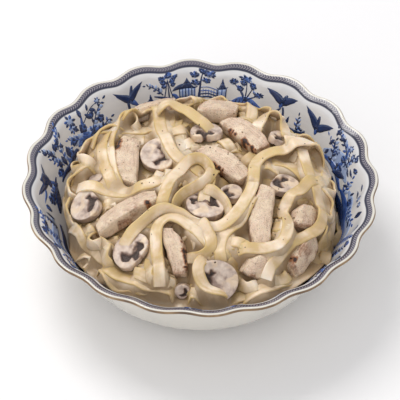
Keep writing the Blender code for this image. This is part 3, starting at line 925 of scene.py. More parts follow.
GILL_CENTRE, GILL_RADIUS = 0.22, 0.44
VOXEL = 0.5


def mushroom_outline(width, height):
    """The outline of a button mushroom cut from top to stem, the cap's top towards +Y."""
    half, cap = width / 2, height * CAP_SHARE
    stem, foot, curl = STEM_SHARE * half, -height * (1 - CAP_SHARE), -CURL_SHARE * height
    right = []
    for i in range(OUTLINE_FACETS // 2 + 1):
        angle = math.pi / 2 * (1 - i / (OUTLINE_FACETS / 2))
        right.append((half * math.cos(angle), cap * math.sin(angle)))
    under = ((0.97, 0.4), (0.92, 0.9), (0.85, 1.4), (0.75, 1.8), (0.62, 2.0))
    right += [(out * half, down * curl) for out, down in under]
    right += [(stem * 1.3, 0.95 * foot), (stem * 0.7, foot)]
    left = [(-x, y) for x, y in reversed(right[1:])]
    middle = (cap + foot) / 2
    return [(x, y - middle) for x, y in right + left]


def baked(piece):
    """A piece's mesh with its modifiers worked out. The piece itself goes."""
    shaped = piece.evaluated_get(bpy.context.evaluated_depsgraph_get())
    mesh = bpy.data.meshes.new_from_object(shaped)
    piece.modifiers.clear()
    bpy.data.objects.remove(piece)
    return mesh


def bump_at(value, centre, width):
    """1 at a centre, falling off smoothly to nothing."""
    return math.exp(-(((value - centre) / width) ** 2))


def soft_slab(name, outline, thick):
    """A slab with an outline, its edges softened, as an even mesh."""
    count = len(outline)
    slab = bpy.data.meshes.new(name)
    corners = [(x, y, z) for z in (-thick / 2 + 0.2, thick / 2 - 0.2) for x, y in outline]
    sides = [(i, (i + 1) % count, count + (i + 1) % count, count + i) for i in range(count)]
    slab.from_pydata(corners, [], sides + [tuple(range(count)), tuple(range(count, 2 * count))])
    face_outwards(slab)
    solid = in_scene(name, slab)
    grain = solid.modifiers.new("even mesh", "REMESH")
    grain.mode, grain.voxel_size = "VOXEL", VOXEL
    soft = solid.modifiers.new("softened edges", "SMOOTH")
    soft.factor, soft.iterations = 0.5, 9
    made = baked(solid)
    bpy.data.meshes.remove(slab)
    return made


def mushroom_slice(name, size, seed, pose):
    """A slice with softened edges and sunken gills beside the stem. Each point keeps its place and
    how far it is gill and skin."""
    width, height, thick = size
    made = soft_slab(name, mushroom_outline(width - 0.4, height - 0.4), thick)
    draw = random.Random(seed)
    cap, half = height * CAP_SHARE, width / 2
    middle = (cap - height * (1 - CAP_SHARE)) / 2
    gills_at, gills_reach = draw.uniform(-2.3, -0.9), draw.uniform(1.3, 2.0)
    local, gill, skin = [], [], []
    for v in made.vertices:
        x, y, z = v.co
        up = y + middle
        out = abs(x) / half
        # The gills open under the cap in one ragged crescent, further round on one side.
        wrinkle = noise.noise(Vector((x * 0.7, y * 0.7, seed)))
        ragged = noise.noise(Vector((x * 0.24, y * 0.24, seed + 9)))
        over_gills = up - GILL_CENTRE * cap
        ring = math.hypot(x / half, 1.5 * over_gills / height)
        off = (math.atan2(over_gills, x) - gills_at + math.pi) % (2 * math.pi) - math.pi
        reach = max(0.0, 1 - (off / gills_reach) ** 2)
        pocket = bump_at(ring, GILL_RADIUS + 0.28 * ragged, 0.05 + 0.15 * reach)
        pocket = pocket * min(1.0, 2.2 * reach)
        pocket = within_one(pocket * (1.1 + 0.9 * ragged) + 0.4 * wrinkle * pocket)
        edge = 1 - math.hypot(x / half, max(0.0, up) / cap) if up > 0 else 1 - out
        gill.append(pocket)
        skin.append(within_one(1 - edge * half / 1.1))
        local.append((x, y, z + 40 * (seed % 7)))
        ridge = math.sin(x * 4.4 + 1.5 * math.sin(y * 0.8)) * 0.18
        waves = 0.45 * noise.noise(Vector((x * 0.16, y * 0.16, seed + 5))) + 0.12 * wrinkle
        sink = pocket * (GILL_DEPTH + ridge) - 0.25 * bump_at(out, 0.0, 0.3) + waves
        v.co.z -= math.copysign(sink, z) * min(1.0, abs(z) / (thick * 0.3))
        v.co.z += 0.0045 * (x * x + up * up - half * half * 0.5) * (1 if seed % 2 else -1)
    points = [v.co.copy() for v in made.vertices]
    faces = [tuple(p.vertices) for p in made.polygons]
    bpy.data.meshes.remove(made)
    return plain_mesh(name, points, faces, pose, local=local, gill=gill, skin=skin)


def mushroom_flesh():
    """Off-white flesh, dark gills with fine ridges, and a tan skin on the cap's edge."""
    made, tree, shader = fleshy("mushroom", 0.45, 0.15, (0.003, 0.0022, 0.0016), 0.6)
    where, gill = attribute(tree, "local", "Vector"), attribute(tree, "gill")
    mottle = cloudy(tree, where, 0.16, 4.0)
    tones = (0.34, (0.33, 0.235, 0.195)), (0.48, (0.58, 0.455, 0.375)), (0.66, (0.78, 0.645, 0.54))
    flesh = ramp(tree, mottle, *tones)
    lines = {"Vector": where, "Scale": 0.9, "Distortion": 2.5, "Detail": 2.0, "Detail Scale": 1.5}
    ridges = node(tree, "ShaderNodeTexWave", lines, bands_direction="X").outputs[1]
    gills = ramp(tree, ridges, (0.2, (0.020, 0.013, 0.012)), (0.8, (0.13, 0.085, 0.07)))
    dusky = blended(tree, steps(tree, gill, 0.0, 0.55), (1.0, 1.0, 1.0), (0.46, 0.36, 0.33))
    skin = steps(tree, attribute(tree, "skin"), 0.35, 0.9)
    colour, film = filmed(tree, blended(tree, skin, flesh, (0.30, 0.21, 0.16)), 0.45, 110.0)
    colour = blended(tree, 1.0, colour, dusky, mode="MULTIPLY")
    colour = blended(tree, steps(tree, gill, 0.34, 0.8), colour, gills)
    roughness = sums(tree, "MULTIPLY_ADD", film, -0.1, 0.45)
    height = sums(tree, "ADD", mottle, sums(tree, "MULTIPLY", ridges, gill))
    connect(tree, shader, colour, roughness, height, 0.4, 0.0006)
    return made


mushroom_finish = mushroom_flesh()
for number, (name, spot, lift, size, turns) in enumerate(MUSHROOMS):
    mesh = mushroom_slice(f"mushroom_{name}", size, number + 1, pose_on_pile(spot, lift, turns))
    place(f"mushroom_{name}_slice", mesh, mushroom_finish, "mushroom", f"mushroom_{name}")
    topping_meshes.append(mesh)

# --- Fettuccine ---------------------------------------------------------------------------------
# Egg ribbons about eight millimetres wide, coated in sauce. The loops that lie on top follow
# their own routes, and shorter tangles fill the heap below them. Every ribbon is laid on what
# lies under it, in the order in which they were heaped.

RIBBON_WIDTH = 8.0
RIBBON_THICK = 1.6
GRID_HALF = 104
GRID = np.arange(-GRID_HALF, GRID_HALF + 1, dtype=float)
GRID_X, GRID_Y = np.meshgrid(GRID, GRID, indexing="ij")
FRONT_FILL = 56.0
BACK_GAP = 3.6

# Laying a ribbon: the step along it, how much it wavers and leans, and how its ends dip.
STATION = 0.8
SHIVER = 0.2
BEND_LEAN, MOST_LEAN = 5.0, 0.7
STEEPEST = 1.05
END_DIP, END_REACH = 4.5, 8.0
OPEN_ABOVE = 200.0


def fill_heights(x, y):
    """Height up to which the gap between heap and wall is filled: well up the wall in front."""
    forward = np.clip((-y / np.maximum(np.hypot(x, y), 1.0) - 0.15) / 0.55, 0, 1)
    return PILE_CONTACT + (FRONT_FILL - PILE_CONTACT) * forward * forward * (3 - 2 * forward)


def pile_heights(x, y, drop=0.0):
    """Height of the heap's surface at many places, or of a smaller heap inside it."""
    away = np.hypot(x, y)
    behind = np.clip((y / np.maximum(away, 1.0) - 0.2) / 0.4, 0, 1)
    share = np.minimum(1.0, away / (PILE_EDGE - BACK_GAP * behind))
    dome = PILE_CONTACT + (PILE_PEAK - PILE_CONTACT) * (1 - share**PILE_SHOULDER) ** PILE_DROP
    return np.maximum(dome, fill_heights(x, y)) - drop


def china_heights(x, y):
    """Height of the bowl's inner face at many places."""
    line = [wall_line(i / 200)[:2] for i in range(201)]
    return np.interp(np.hypot(x, y), [p[0] for p in line], [p[1] for p in line])


def nearest(x, y):
    """The grid's cells nearest to places."""
    return tuple(np.clip(np.rint(v + GRID_HALF), 0, 2 * GRID_HALF).astype(int) for v in (x, y))


def places_of(mesh):
    """A mesh's points in millimetres."""
    spots = np.empty(3 * len(mesh.vertices), dtype=np.float32)
    mesh.vertices.foreach_get("co", spots)
    return spots.reshape(-1, 3).astype(float) / MM


# The top of everything heaped so far, and the underside of the toppings above.
heaped = np.maximum(pile_heights(GRID_X, GRID_Y, 5.0), china_heights(GRID_X, GRID_Y) + 0.4)
wetted = pile_heights(GRID_X, GRID_Y, 6.0)
underside = np.full_like(heaped, OPEN_ABOVE)
topping_top = np.full_like(heaped, -10.0)
for mesh in topping_meshes:
    spots = places_of(mesh)
    for shift_x, shift_y in itertools.product((-0.6, 0, 0.6), repeat=2):
        cells = nearest(spots[:, 0] + shift_x, spots[:, 1] + shift_y)
        np.minimum.at(underside, cells, spots[:, 2])
        np.maximum.at(topping_top, cells, spots[:, 2])


def softened(values, rounds):
    """Values eased along a ribbon."""
    for _ in range(rounds):
        padded = np.concatenate(([values[0]], values, [values[-1]]))
        values = (padded[:-2] + 2 * padded[1:-1] + padded[2:]) / 4
    return values


def spread(values, reach, pick):
    """The largest or smallest value within reach of each cell."""
    result = values.copy()
    for i, j in itertools.product(range(-reach, reach + 1), repeat=2):
        if 0 < i * i + j * j <= reach * reach + 0.5:
            result = pick(result, np.roll(values, (i, j), (0, 1)))
    return result


def blurred(values, rounds):
    """Values eased over the grid."""
    for _ in range(rounds):
        for axis in (0, 1):
            values = (np.roll(values, 1, axis) + 2 * values + np.roll(values, -1, axis)) / 4
    return values


def lay(route, seed, width=RIBBON_WIDTH, curl=1.0, under=False, ceiling=None):
    """Lays one ribbon on the heap: stations of x, y, height, lean and width share.

    A route's third number lifts the ribbon off what it lies on, and its fourth turns it about its
    own length in degrees, its left edge up. Tight bends lean outwards by themselves, times curl.
    A ribbon on edge sinks into the heap, and both ends dip into the sauce.
    """
    track = along_route(route, STATION)
    x, y = track[:, 0], track[:, 1]
    lift = track[:, 2] if track.shape[1] > 2 else np.zeros_like(x)
    turn = np.radians(track[:, 3]) if track.shape[1] > 3 else np.zeros_like(x)
    ahead = np.gradient(x), np.gradient(y)
    span = np.hypot(*ahead)
    tx, ty = ahead[0] / span, ahead[1] / span
    left_x, left_y = -ty, tx

    # How it leans: with the heap's own slope, its bends, its turn and a slight shiver.
    bend = softened(np.gradient(np.unwrap(np.arctan2(ty, tx))) / STATION, 12)
    step = 3.0
    left, right = (pile_heights(x + way * left_x, y + way * left_y) for way in (step, -step))
    slope = np.clip(np.arctan((left - right) / (2 * step)), -STEEPEST, STEEPEST)
    shiver = np.array([noise.noise(Vector((a * 0.05, b * 0.05, seed))) for a, b in zip(x, y)])
    own = turn + np.clip(bend * BEND_LEAN, -MOST_LEAN, MOST_LEAN) * curl + SHIVER * shiver
    lean = softened(slope + own, 8)
    cosine, sine = np.cos(lean), np.sin(lean)

    def cells_across(off):
        return nearest(x + off * cosine * left_x, y + off * cosine * left_y)

    # How high it lies: on all that is under it, eased along its length, with both ends dipped.
    across = np.linspace(-width / 2, width / 2, 11)[:, None]
    cells = cells_across(across)
    needed = (heaped[cells] - across * sine).max(axis=0) + RIBBON_THICK / 2 - 0.3
    needed = needed - 0.75 * (width / 2) * np.abs(np.sin(softened(own, 8)))
    height = needed.copy()
    for _ in range(12):
        height = np.maximum(needed, softened(height, 5))
    height = softened(height, 4) + lift
    count = len(x)
    from_end = np.minimum(np.arange(count), np.arange(count)[::-1]) * STATION
    height = height - END_DIP * np.clip(1 - from_end / END_REACH, 0, 1) ** 2
    if ceiling is not None:
        cap = pile_heights(x, y, ceiling)
        height = np.where(height > cap, cap + 0.25 * (height - cap), height)
    if under:
        lid = (underside[cells] - across * sine).min(axis=0) - RIBBON_THICK / 2 - 0.5
        lid = np.minimum(lid, OPEN_ABOVE - 1)
        for _ in range(8):
            lid = np.minimum(lid, softened(lid, 4))
        height = np.minimum(height, lid)
    share = np.minimum(1.0, 0.7 + from_end * 0.12) * (width / RIBBON_WIDTH) * (1 + 0.07 * shiver)

    # What it adds to the heap, and where sauce can rest on it.
    fine = np.linspace(-width / 2, width / 2, 15)[:, None]
    cells = cells_across(fine)
    tops = height + fine * sine + RIBBON_THICK / 2 * cosine
    np.maximum.at(heaped, cells, tops)
    flat = np.broadcast_to((lift < 1.5) & (np.abs(own) < 0.6), tops.shape)
    np.maximum.at(wetted, (cells[0][flat], cells[1][flat]), tops[flat])
    return np.column_stack((x, y, height, lean, share))[::2]


def ribbon_nodes():
    """Geometry nodes that sweep a soft-edged ribbon along every curve, and keep how far along it
    each point lies, where it lies round the ribbon, and which ribbon it is on."""
    inputs = (
        ("Routes", "Geometry"),
        ("Width", "Float", RIBBON_WIDTH * MM),
        ("Thickness", "Float", RIBBON_THICK * MM),
        ("Corner", "Float", 0.00072),
        ("Finish", "Material"),
    )
    tree, given, result = new_group(
        "ribbons", "GeometryNodeTree", inputs, [("Ribbons", "Geometry")],
    )

    def captured(shape, kind, value, domain="POINT"):
        made = node(tree, "GeometryNodeCaptureAttribute", {0: shape}, domain=domain)
        made.capture_items.new(kind, "kept")
        tree.links.new(node(tree, value[0]).outputs[value[1]], made.inputs[1])
        return made.outputs

    upright = node(tree, "GeometryNodeSetCurveNormal", {"Curve": given["Routes"]}, mode="Z_UP")
    along = captured(upright.outputs[0], "FLOAT", ("GeometryNodeSplineParameter", "Length"))
    numbered = captured(along[0], "FLOAT", ("GeometryNodeInputIndex", 0), "CURVE")
    size = {"Width": given["Width"], "Height": given["Thickness"]}
    outline = node(tree, "GeometryNodeCurvePrimitiveQuadrilateral", size).outputs[0]
    corner = {"Curve": outline, "Count": 3, "Radius": given["Corner"]}
    rounded = node(tree, "GeometryNodeFilletCurve", corner, mode="POLY").outputs[0]
    profile = captured(rounded, "VECTOR", ("GeometryNodeInputPosition", 0))
    parts = {"Curve": numbered[0], "Profile Curve": profile[0], "Fill Caps": True}
    shape = node(tree, "GeometryNodeCurveToMesh", parts).outputs[0]
    for label, value in (("along", along[1]), ("ribbon", numbered[1]), ("round", profile[1])):
        inputs = {"Geometry": shape, "Name": label, "Value": value}
        kind = "FLOAT_VECTOR" if label == "round" else "FLOAT"
        stored = node(
            tree, "GeometryNodeStoreNamedAttribute", inputs, data_type=kind, domain="POINT",
        )
        shape = stored.outputs[0]
    smooth = node(tree, "GeometryNodeSetShadeSmooth", {0: shape})
    tree.links.new(finished(tree, smooth.outputs[0], given["Finish"]), result[0])
    return tree


def finished(tree, shape, finish):
    """The last two nodes of every tree: real geometry, with its material."""
    real = node(tree, "GeometryNodeRealizeInstances", {0: shape}).outputs[0]
    inputs = {"Geometry": real, "Material": finish}
    return node(tree, "GeometryNodeSetMaterial", inputs).outputs[0]


def grown_mesh(name, base, tree, finish):
    """A plain mesh that a tree of geometry nodes makes from curves or points."""
    piece = in_scene(name, base)
    grown = piece.modifiers.new(name, "NODES")
    grown.node_group = tree
    grown[tree.interface.items_tree["Finish"].identifier] = finish
    mesh = baked(piece)
    mesh.name = name
    return mesh


RIBBON_NODES = ribbon_nodes()
# How light sinks into cream: share, reach of each colour, scale.
CREAMY = (0.15, (0.004, 0.0022, 0.0010), 0.5)


def sweep(name, ribbons):
    """A plain mesh swept along laid ribbons. It keeps how deep in the heap each point lies, for the
    painted shade in the pasta's colour.
    """
    curve = bpy.data.curves.new(name, "CURVE")
    curve.dimensions = "3D"
    for stations in ribbons:
        spline = curve.splines.new("POLY")
        spline.points.add(len(stations) - 1)
        for point, (x, y, z, lean, share) in zip(spline.points, stations):
            point.co = (x * MM, y * MM, z * MM, 1)
            point.tilt = lean
            point.radius = share
    mesh = grown_mesh(name, curve, RIBBON_NODES, pasta_finish)
    spots = places_of(mesh)
    # Painted shade: how far each point lies below the heap's crest round about, which darkens its
    # colour.
    deep = np.clip((crest[nearest(spots[:, 0], spots[:, 1])] - spots[:, 2] - 1.5) / 7.0, 0, 1)
    values = mesh.attributes.new("deep", "FLOAT", "POINT").data
    values.foreach_set("value", deep.astype(np.float32))
    return mesh


def coated_pasta():
    """Egg pasta, yellower where it is bare along its edges, under a smooth coat of cream, with
    painted shade where it lies deep in the heap and its palest cream partly painted highlights.
    """
    made, tree, shader = fleshy("coated pasta", 0.31, *CREAMY, IOR=1.42)
    which, where = attribute(tree, "ribbon"), own_place(tree)
    lot = node(tree, "ShaderNodeTexWhiteNoise", {"W": which}, noise_dimensions="1D").outputs[0]
    eggs = (0.0, (0.59, 0.415, 0.17)), (0.5, (0.65, 0.47, 0.21)), (1.0, (0.70, 0.52, 0.26))
    bare = ramp(tree, lot, *eggs)
    side = node(tree, "ShaderNodeSeparateXYZ", {0: attribute(tree, "round", "Vector")}).outputs[0]
    edge = steps(tree, sums(tree, "ABSOLUTE", side), 0.0026, 0.0040)
    lengthwise = node(
        tree, "ShaderNodeCombineXYZ", {0: attribute(tree, "along"), 1: side, 2: which},
    )
    stretch = {"Vector": lengthwise.outputs[0], "Scale": (34.0, 210.0, 7.3)}
    stretched = node(tree, "ShaderNodeMapping", stretch).outputs[0]
    streaks = cloudy(tree, stretched, 1.0, 3.0, Distortion=0.3)
    clouds = cloudy(tree, where, 55.0, 3.0, Distortion=0.5)
    level = sums(tree, "ADD", streaks, sums(tree, "MULTIPLY_ADD", clouds, 1.1, -0.50))
    level = sums(tree, "SUBTRACT", level, sums(tree, "MULTIPLY", edge, 0.22))
    coat = steps(tree, level, 0.22, 0.66)
    # The palest cream is partly whiter cream and partly a painted highlight, in random patches.
    creams = (0.36, (0.67, 0.48, 0.28)), (0.58, (0.89, 0.715, 0.535)), (0.70, (0.94, 0.81, 0.67))
    colour = blended(tree, sums(tree, "MULTIPLY", coat, 0.92), bare, ramp(tree, clouds, *creams))
    # Painted shade: browner where the ribbon lies deep below the heap round about.
    deep = sums(tree, "MULTIPLY", attribute(tree, "deep"), 0.8)
    colour = blended(tree, deep, colour, (0.30, 0.19, 0.075))
    roughness = sums(tree, "MULTIPLY_ADD", coat, -0.10, 0.40)
    relief = sums(tree, "ADD", sums(tree, "MULTIPLY", coat, 0.45), cloudy(tree, where, 150.0, 3.0))
    connect(tree, shader, colour, roughness, relief, 0.55, 0.0008)
    return made


pasta_finish = coated_pasta()
HEAP_REACH = 88


def round_heap(angles, radii):
    """A route through places at angles and distances from the heap's middle."""
    return [(r * math.cos(a), r * math.sin(a)) for a, r in zip(angles, radii)]


# Hollows where loops stand open: places and radii. The tangles dip under them.
HOLLOWS = [
    (-71.5, 21.5, 6), (-76, 5, 4.5), (-78, -8, 3.5), (-9, 57, 5.5), (-47, 48, 4.5),
    (-8.5, -13, 5.5), (0, -62, 4.5), (29, -53, 4.5), (76, 19, 6), (53, 14, 5.5), (58, -2, 4.5),
    (54, -69, 5.5), (83, -7, 3.5), (-71, -42, 4.5), (-65, -62, 4.5), (-35, -66, 4), (-8, -78, 4.5),
    (30, -76, 4.5), (-66, 52, 4), (44, 52, 4.5), (24, -2, 4), (-40, -2, 4.5),
]
clear_of_toppings = underside.copy()
sunken = np.minimum(underside, pile_heights(GRID_X, GRID_Y, 8.0))
for x, y, reach in HOLLOWS:
    open_here = np.hypot(GRID_X - x, GRID_Y - y) < reach
    underside[open_here] = sunken[open_here]

# Tangles that fill the heap, mostly hidden. Each starts somewhere on the heap, wanders, and turns
# back where it comes near the wall.
FILLERS, SHOULDER_FILLERS, FRONT_FILLERS = 84, 22, 15
WANDER, TURN_BACK = 9, 0.65
chance = random.Random(11)
fillers = []
for number in range(FILLERS):
    radius, angle = 86 * math.sqrt(chance.random()), 2 * math.pi * chance.random()
    x, y = radius * math.cos(angle), radius * math.sin(angle)
    heading, turning = 2 * math.pi * chance.random(), 0.0
    route = [(x, y)]
    for _ in range(chance.randint(9, 17)):
        turning = 0.6 * turning + chance.gauss(0, 0.24)
        heading += turning
        ahead = math.hypot(x + 2 * WANDER * math.cos(heading), y + 2 * WANDER * math.sin(heading))
        if ahead > HEAP_REACH - 4:
            off = (math.atan2(y, x) - heading + math.pi) % (2 * math.pi) - math.pi
            heading -= math.copysign(TURN_BACK, off)
        x, y = x + WANDER * math.cos(heading), y + WANDER * math.sin(heading)
        far = math.hypot(x, y)
        if far > HEAP_REACH:
            x, y = x * HEAP_REACH / far, y * HEAP_REACH / far
        route.append((x, y))
    fillers.append(lay(route, number, under=True, ceiling=1.8 * chance.random() - 0.4))

# More of them run round the shoulder of the heap and fill it up to the wall.
for number in range(SHOULDER_FILLERS):
    angle, sway = 2 * math.pi * (number * 0.382 % 1), chance.uniform(-3, 3)
    span, turns = chance.uniform(0.9, 1.7), chance.uniform(2, 5)
    out = 81 + 6 * (number % 3) / 2
    radii = [out + sway * math.sin(turns * step / 4 + number) for step in range(13)]
    route = round_heap([angle + span * step / 12 for step in range(13)], radii)
    fillers.append(lay(route, 60 + number, under=True, ceiling=0.6 if route[6][1] < 40 else 3.0))

# In front they fill the gap along the wall.
for number in range(FRONT_FILLERS):
    start, span = math.radians(-158 + 9 * number), chance.uniform(0.3, 0.55)
    sway, out = chance.uniform(1.0, 3.5), chance.uniform(85, 93.5)
    radii = [out + sway * math.sin(0.9 * step + number) for step in range(11)]
    route = round_heap([start + span * step / 10 for step in range(11)], radii)
    fillers.append(lay(route, 300 + number, under=True, ceiling=-0.8))

underside = clear_of_toppings

# Ribbons that dip under the toppings or lie against the wall, lowest first.
LOW_RIBBONS = [
    [
        (-84, -26), (-79, -38), (-73, -48), (-66, -57), (-58, -64), (-50, -69), (-40, -73),
        (-31, -76), (-20, -80),
    ],
    [(-62, -66), (-52, -74), (-42, -80), (-30, -85), (-16, -88), (-2, -90), (10, -90)],
    [(-73, -38), (-69, -46), (-64, -53), (-57, -58), (-48, -60)],
    [(-52, -70), (-42, -76), (-32, -81), (-20, -84.5), (-8, -85.5), (4, -84), (14, -80)],
    [(-87, -8), (-84, 3), (-78, 8), (-71, 5), (-66, -2)],
    [(-86, -12), (-80, -7), (-73, -7), (-66, -10)],
    [(78, 0), (83, -6), (86, -14), (86, -24), (84, -34), (79, -44), (74, -52)],
    [(-22, 60), (-15, 64), (-8, 69), (0, 72), (7, 70), (12, 66)],
    [(6, 70), (5, 60), (2, 52), (-1, 44), (-3, 38)],
    [(54, 40), (61, 43), (68, 42), (73, 35), (72, 25)],
    [(-60, 39), (-51, 42), (-42, 43), (-34, 44), (-26, 42)],
    [(6, 41), (11, 37), (17, 29), (23, 21), (28, 12), (31, 3), (33, -6)],
    [(-26, 36), (-18, 39), (-10, 42), (-2, 48)],
    [(38, 10), (48, 9), (57, 4), (63, -5), (66, -14), (66, -22)],
    [(44, 14), (54, 13), (62, 8), (70, 0)], [(18, -56), (26, -58), (36, -60), (46, -61), (54, -58)],
    [(14, -90), (27, -86), (38, -81), (47, -75), (54, -68)],
    [(-24, 16), (-20, 6), (-20, -4), (-24, -14), (-30, -20)],
    [(-74, -22), (-65, -24), (-55, -24), (-45, -21), (-37, -16)],
    [(-10, -52), (-9, -60), (-7, -67), (-1, -71), (8, -71.5), (19, -70), (31, -68)],
    [(28, -88), (41, -83), (52, -76), (59, -69), (60, -63), (55, -60), (49, -62)],
]

# Loops that turn back at the wall, all round the heap's edge.
EDGE_LOOPS = 26
for number in range(EDGE_LOOPS):
    angle = 2 * math.pi * (number + 0.7 * chance.random()) / EDGE_LOOPS
    half, out = 0.07 + 0.07 * chance.random(), 84 - 5.0 * math.sin(angle) + 4.0 * chance.random()
    loop = [
        (-1.9, 62), (-1.3, 74), (-0.7, out - 2), (0, out), (0.8, out - 2.5), (1.3, 75), (1.2, 64),
    ]
    LOW_RIBBONS.append(round_heap([angle + half * turn for turn, _ in loop], [r for _, r in loop]))
low_ribbons = [lay(route, 100 + number, under=True) for number, route in enumerate(LOW_RIBBONS)]
heaped = np.maximum(heaped, topping_top)

# The loops on top: width, how far bends lean outwards, and the route.
TOP_RIBBONS = [
    (7.5, 1, [(14, -71), (13, -63), (14.5, -54), (19, -47), (26, -40), (31, -30), (35, -20)]),
    (
        9, 0.5,
        [
            (65, 30), (67, 19), (70, 8), (73, -3), (76.5, -14), (79.5, -24, 0, 10),
            (79, -33, 0, 35), (74, -41, 0, 45), (66, -46, 0, 25), (58, -53), (52, -61), (47, -70),
            (43, -79),
        ],
    ),
    (
        8, 1,
        [
            (77, -2), (68, -11), (60, -16), (55.5, -23), (53.5, -30), (56.5, -37), (57, -44, 0, 20),
            (55, -51, 0, 45), (50, -57, 0, 45), (43, -60.5, 0, 20), (34, -62), (24, -62.5),
        ],
    ),
    (
        9.5, 1,
        [(-80, -5), (-71, -9.5), (-60, -13), (-50, -14), (-40, -13.5), (-31, -11.5), (-22, -7)],
    ),
    (8, 1, [(-58, 42), (-60.5, 30), (-60, 17, 0, 10), (-58.5, 6, 0, 15), (-56, -4), (-52, -12)]),
    (8, 1, [(-61, 42), (-64.5, 31), (-65, 20), (-63.5, 9), (-60, -2), (-56, -12)]),
    (
        7.5, 0.5,
        [
            (-58, 40), (-67, 38, 0, 20), (-75, 33, 1, 40), (-79.5, 24, 1, 45), (-79.5, 14, 1, 40),
            (-75, 8), (-68, 6),
        ],
    ),
    (7, 0.5, [(-72, 30), (-67, 38.5, 0, -20), (-60, 43.5, 0, -30), (-52, 44)]),
    (
        6.5, 0.3,
        [
            (-57, 42), (-53, 49, 1, -50), (-47, 53, 1, -65), (-42, 49, 1, -65), (-42.5, 44, 0, -50),
            (-48, 41),
        ],
    ),
    (7.5, 0.5, [(-53, 48), (-44, 56, 0, -30), (-36, 61, 0, -30), (-27, 63)]),
    (
        10.5, 0.6,
        [(-31, 69), (-28.5, 58), (-27.5, 48), (-26, 38), (-23, 28), (-19, 19), (-13, 12), (-4, 6)],
    ),
    (8, 0, [(-29, 58, 2), (-21, 61, 4.5), (-13, 57, 5), (-6, 51, 4), (1, 45, 2), (7, 40, 1)]),
    (
        9, 0,
        [
            (-29, -46), (-26, -36), (-24, -26), (-21.5, -15), (-18, -5, 1), (-13, 3, 1, 15),
            (-8, 9, 2, 35), (-3, 11.5, 2, 50), (2, 9.5, 2, 55), (5.5, 4, 2, 50), (6.5, -4, 1, 35),
            (5.5, -11, 0, 20), (3, -18), (2, -26),
        ],
    ),
    (
        7, 0,
        [
            (9, 2), (5, -8, 1, -40), (-2, -15, 2, -60), (-8, -19, 2, -60), (-14, -24, 2, -55),
            (-16, -30, 1, -50), (-13, -37, 0, -40), (-6, -43),
        ],
    ),
    (
        6.5, 0,
        [
            (1, -15), (9, -19, 1, 60), (15, -25, 1, 65), (18, -32, 1, 60), (18.5, -40, 0, 50),
            (15, -47),
        ],
    ),
    (
        8.5, 0.5,
        [
            (-49, -58), (-41, -49, 1, 30), (-34, -41, 1, 50), (-27, -36.5, 2, 55),
            (-20, -35.5, 2, 55), (-13, -38, 1, 45), (-6, -42, 0, 25), (2, -45), (11, -46),
            (19, -42), (25, -35), (30, -26), (33.5, -16), (34.5, -5), (35.5, 6, 1), (39, 13.5, 2),
            (46, 18.5, 3), (54, 21, 3), (61, 24.5, 3), (68, 28.5, 3), (75, 30.5, 2),
            (80.5, 27, 1, 10), (82.5, 20, 0, 20), (82, 10, 0, 20), (80, 1), (75, -8),
        ],
    ),
    (
        9, 0.6,
        [
            (-25, -88), (-26, -77), (-27.5, -66), (-28, -55, 1), (-26, -47.5, 2), (-20, -43.5, 3),
            (-12, -45, 2), (-4, -50, 1), (3, -56), (9, -64),
        ],
    ),
    (7, 1, [(-1, -41), (4, -50, 0, 45), (7.5, -58, 0, 25), (6, -66), (0, -70), (-8, -69)]),
    (
        7.5, 0.4,
        [
            (36, 41), (39.5, 51, 1, -20), (44, 56.5, 2, -30), (50, 57.5, 2, -30), (54, 53, 1),
            (55.5, 45), (56.5, 36), (59, 25),
        ],
    ),
    (7, 1, [(4, -71), (-0.5, -79, 0, -30), (2, -86, 0, -40), (9, -90, 0, -30), (18, -89)]),
]
top_ribbons = [
    lay(route, 200 + i, width, curl)
    for i, (width, curl, route) in enumerate(TOP_RIBBONS)
]

# How high the heap stands round about, which tells how deep a strand or the sauce lies in it, and
# so where their colours get painted shade.
mound = pile_heights(GRID_X, GRID_Y)
crest = blurred(spread(heaped - mound, 4, np.maximum), 3) + mound

# The tangles are mostly hidden, so they take every other station.
tangles = [stations[::2] for stations in fillers]
place("pasta_tangles", sweep("pasta_tangles", tangles), None, "pasta_in_cream", "fettuccine")
place("pasta_loops", sweep("pasta_loops", low_ribbons + top_ribbons), None, "pasta_in_cream")

# --- Sauce --------------------------------------------------------------------------------------
# Thick cream that fills the heap between the ribbons, webs the gaps where ribbons meet, and lies
# over some of them. It reaches down to the bowl's floor as one body.

SAUCE_TURNS, SAUCE_RINGS, SAUCE_SKINS = 420, 86, 12
SAUCE_BELOW = 4.0
SAUCE_OFF_CHINA = 0.6
closed = spread(spread(wetted, 3, np.maximum), 3, np.minimum)
patches, ripples = (
    np.array([[noise.noise(Vector((x * scale, y * scale, seed))) for y in GRID] for x in GRID])
    for scale, seed in ((0.055, 4.0), (0.2, 9.0))
)
sauce = blurred(closed, 2) - 0.9 + 2.2 * patches + 0.3 * ripples


def between(values, x, y):
    """A grid's value between its cells."""
    i, j = x + GRID_HALF, y + GRID_HALF
    low_i, low_j = int(i), int(j)
    a, b = i - low_i, j - low_j
    return (
        (1 - a) * (1 - b) * values[low_i, low_j]
        + a * (1 - b) * values[low_i + 1, low_j]
        + (1 - a) * b * values[low_i, low_j + 1]
        + a * b * values[low_i + 1, low_j + 1]
    )


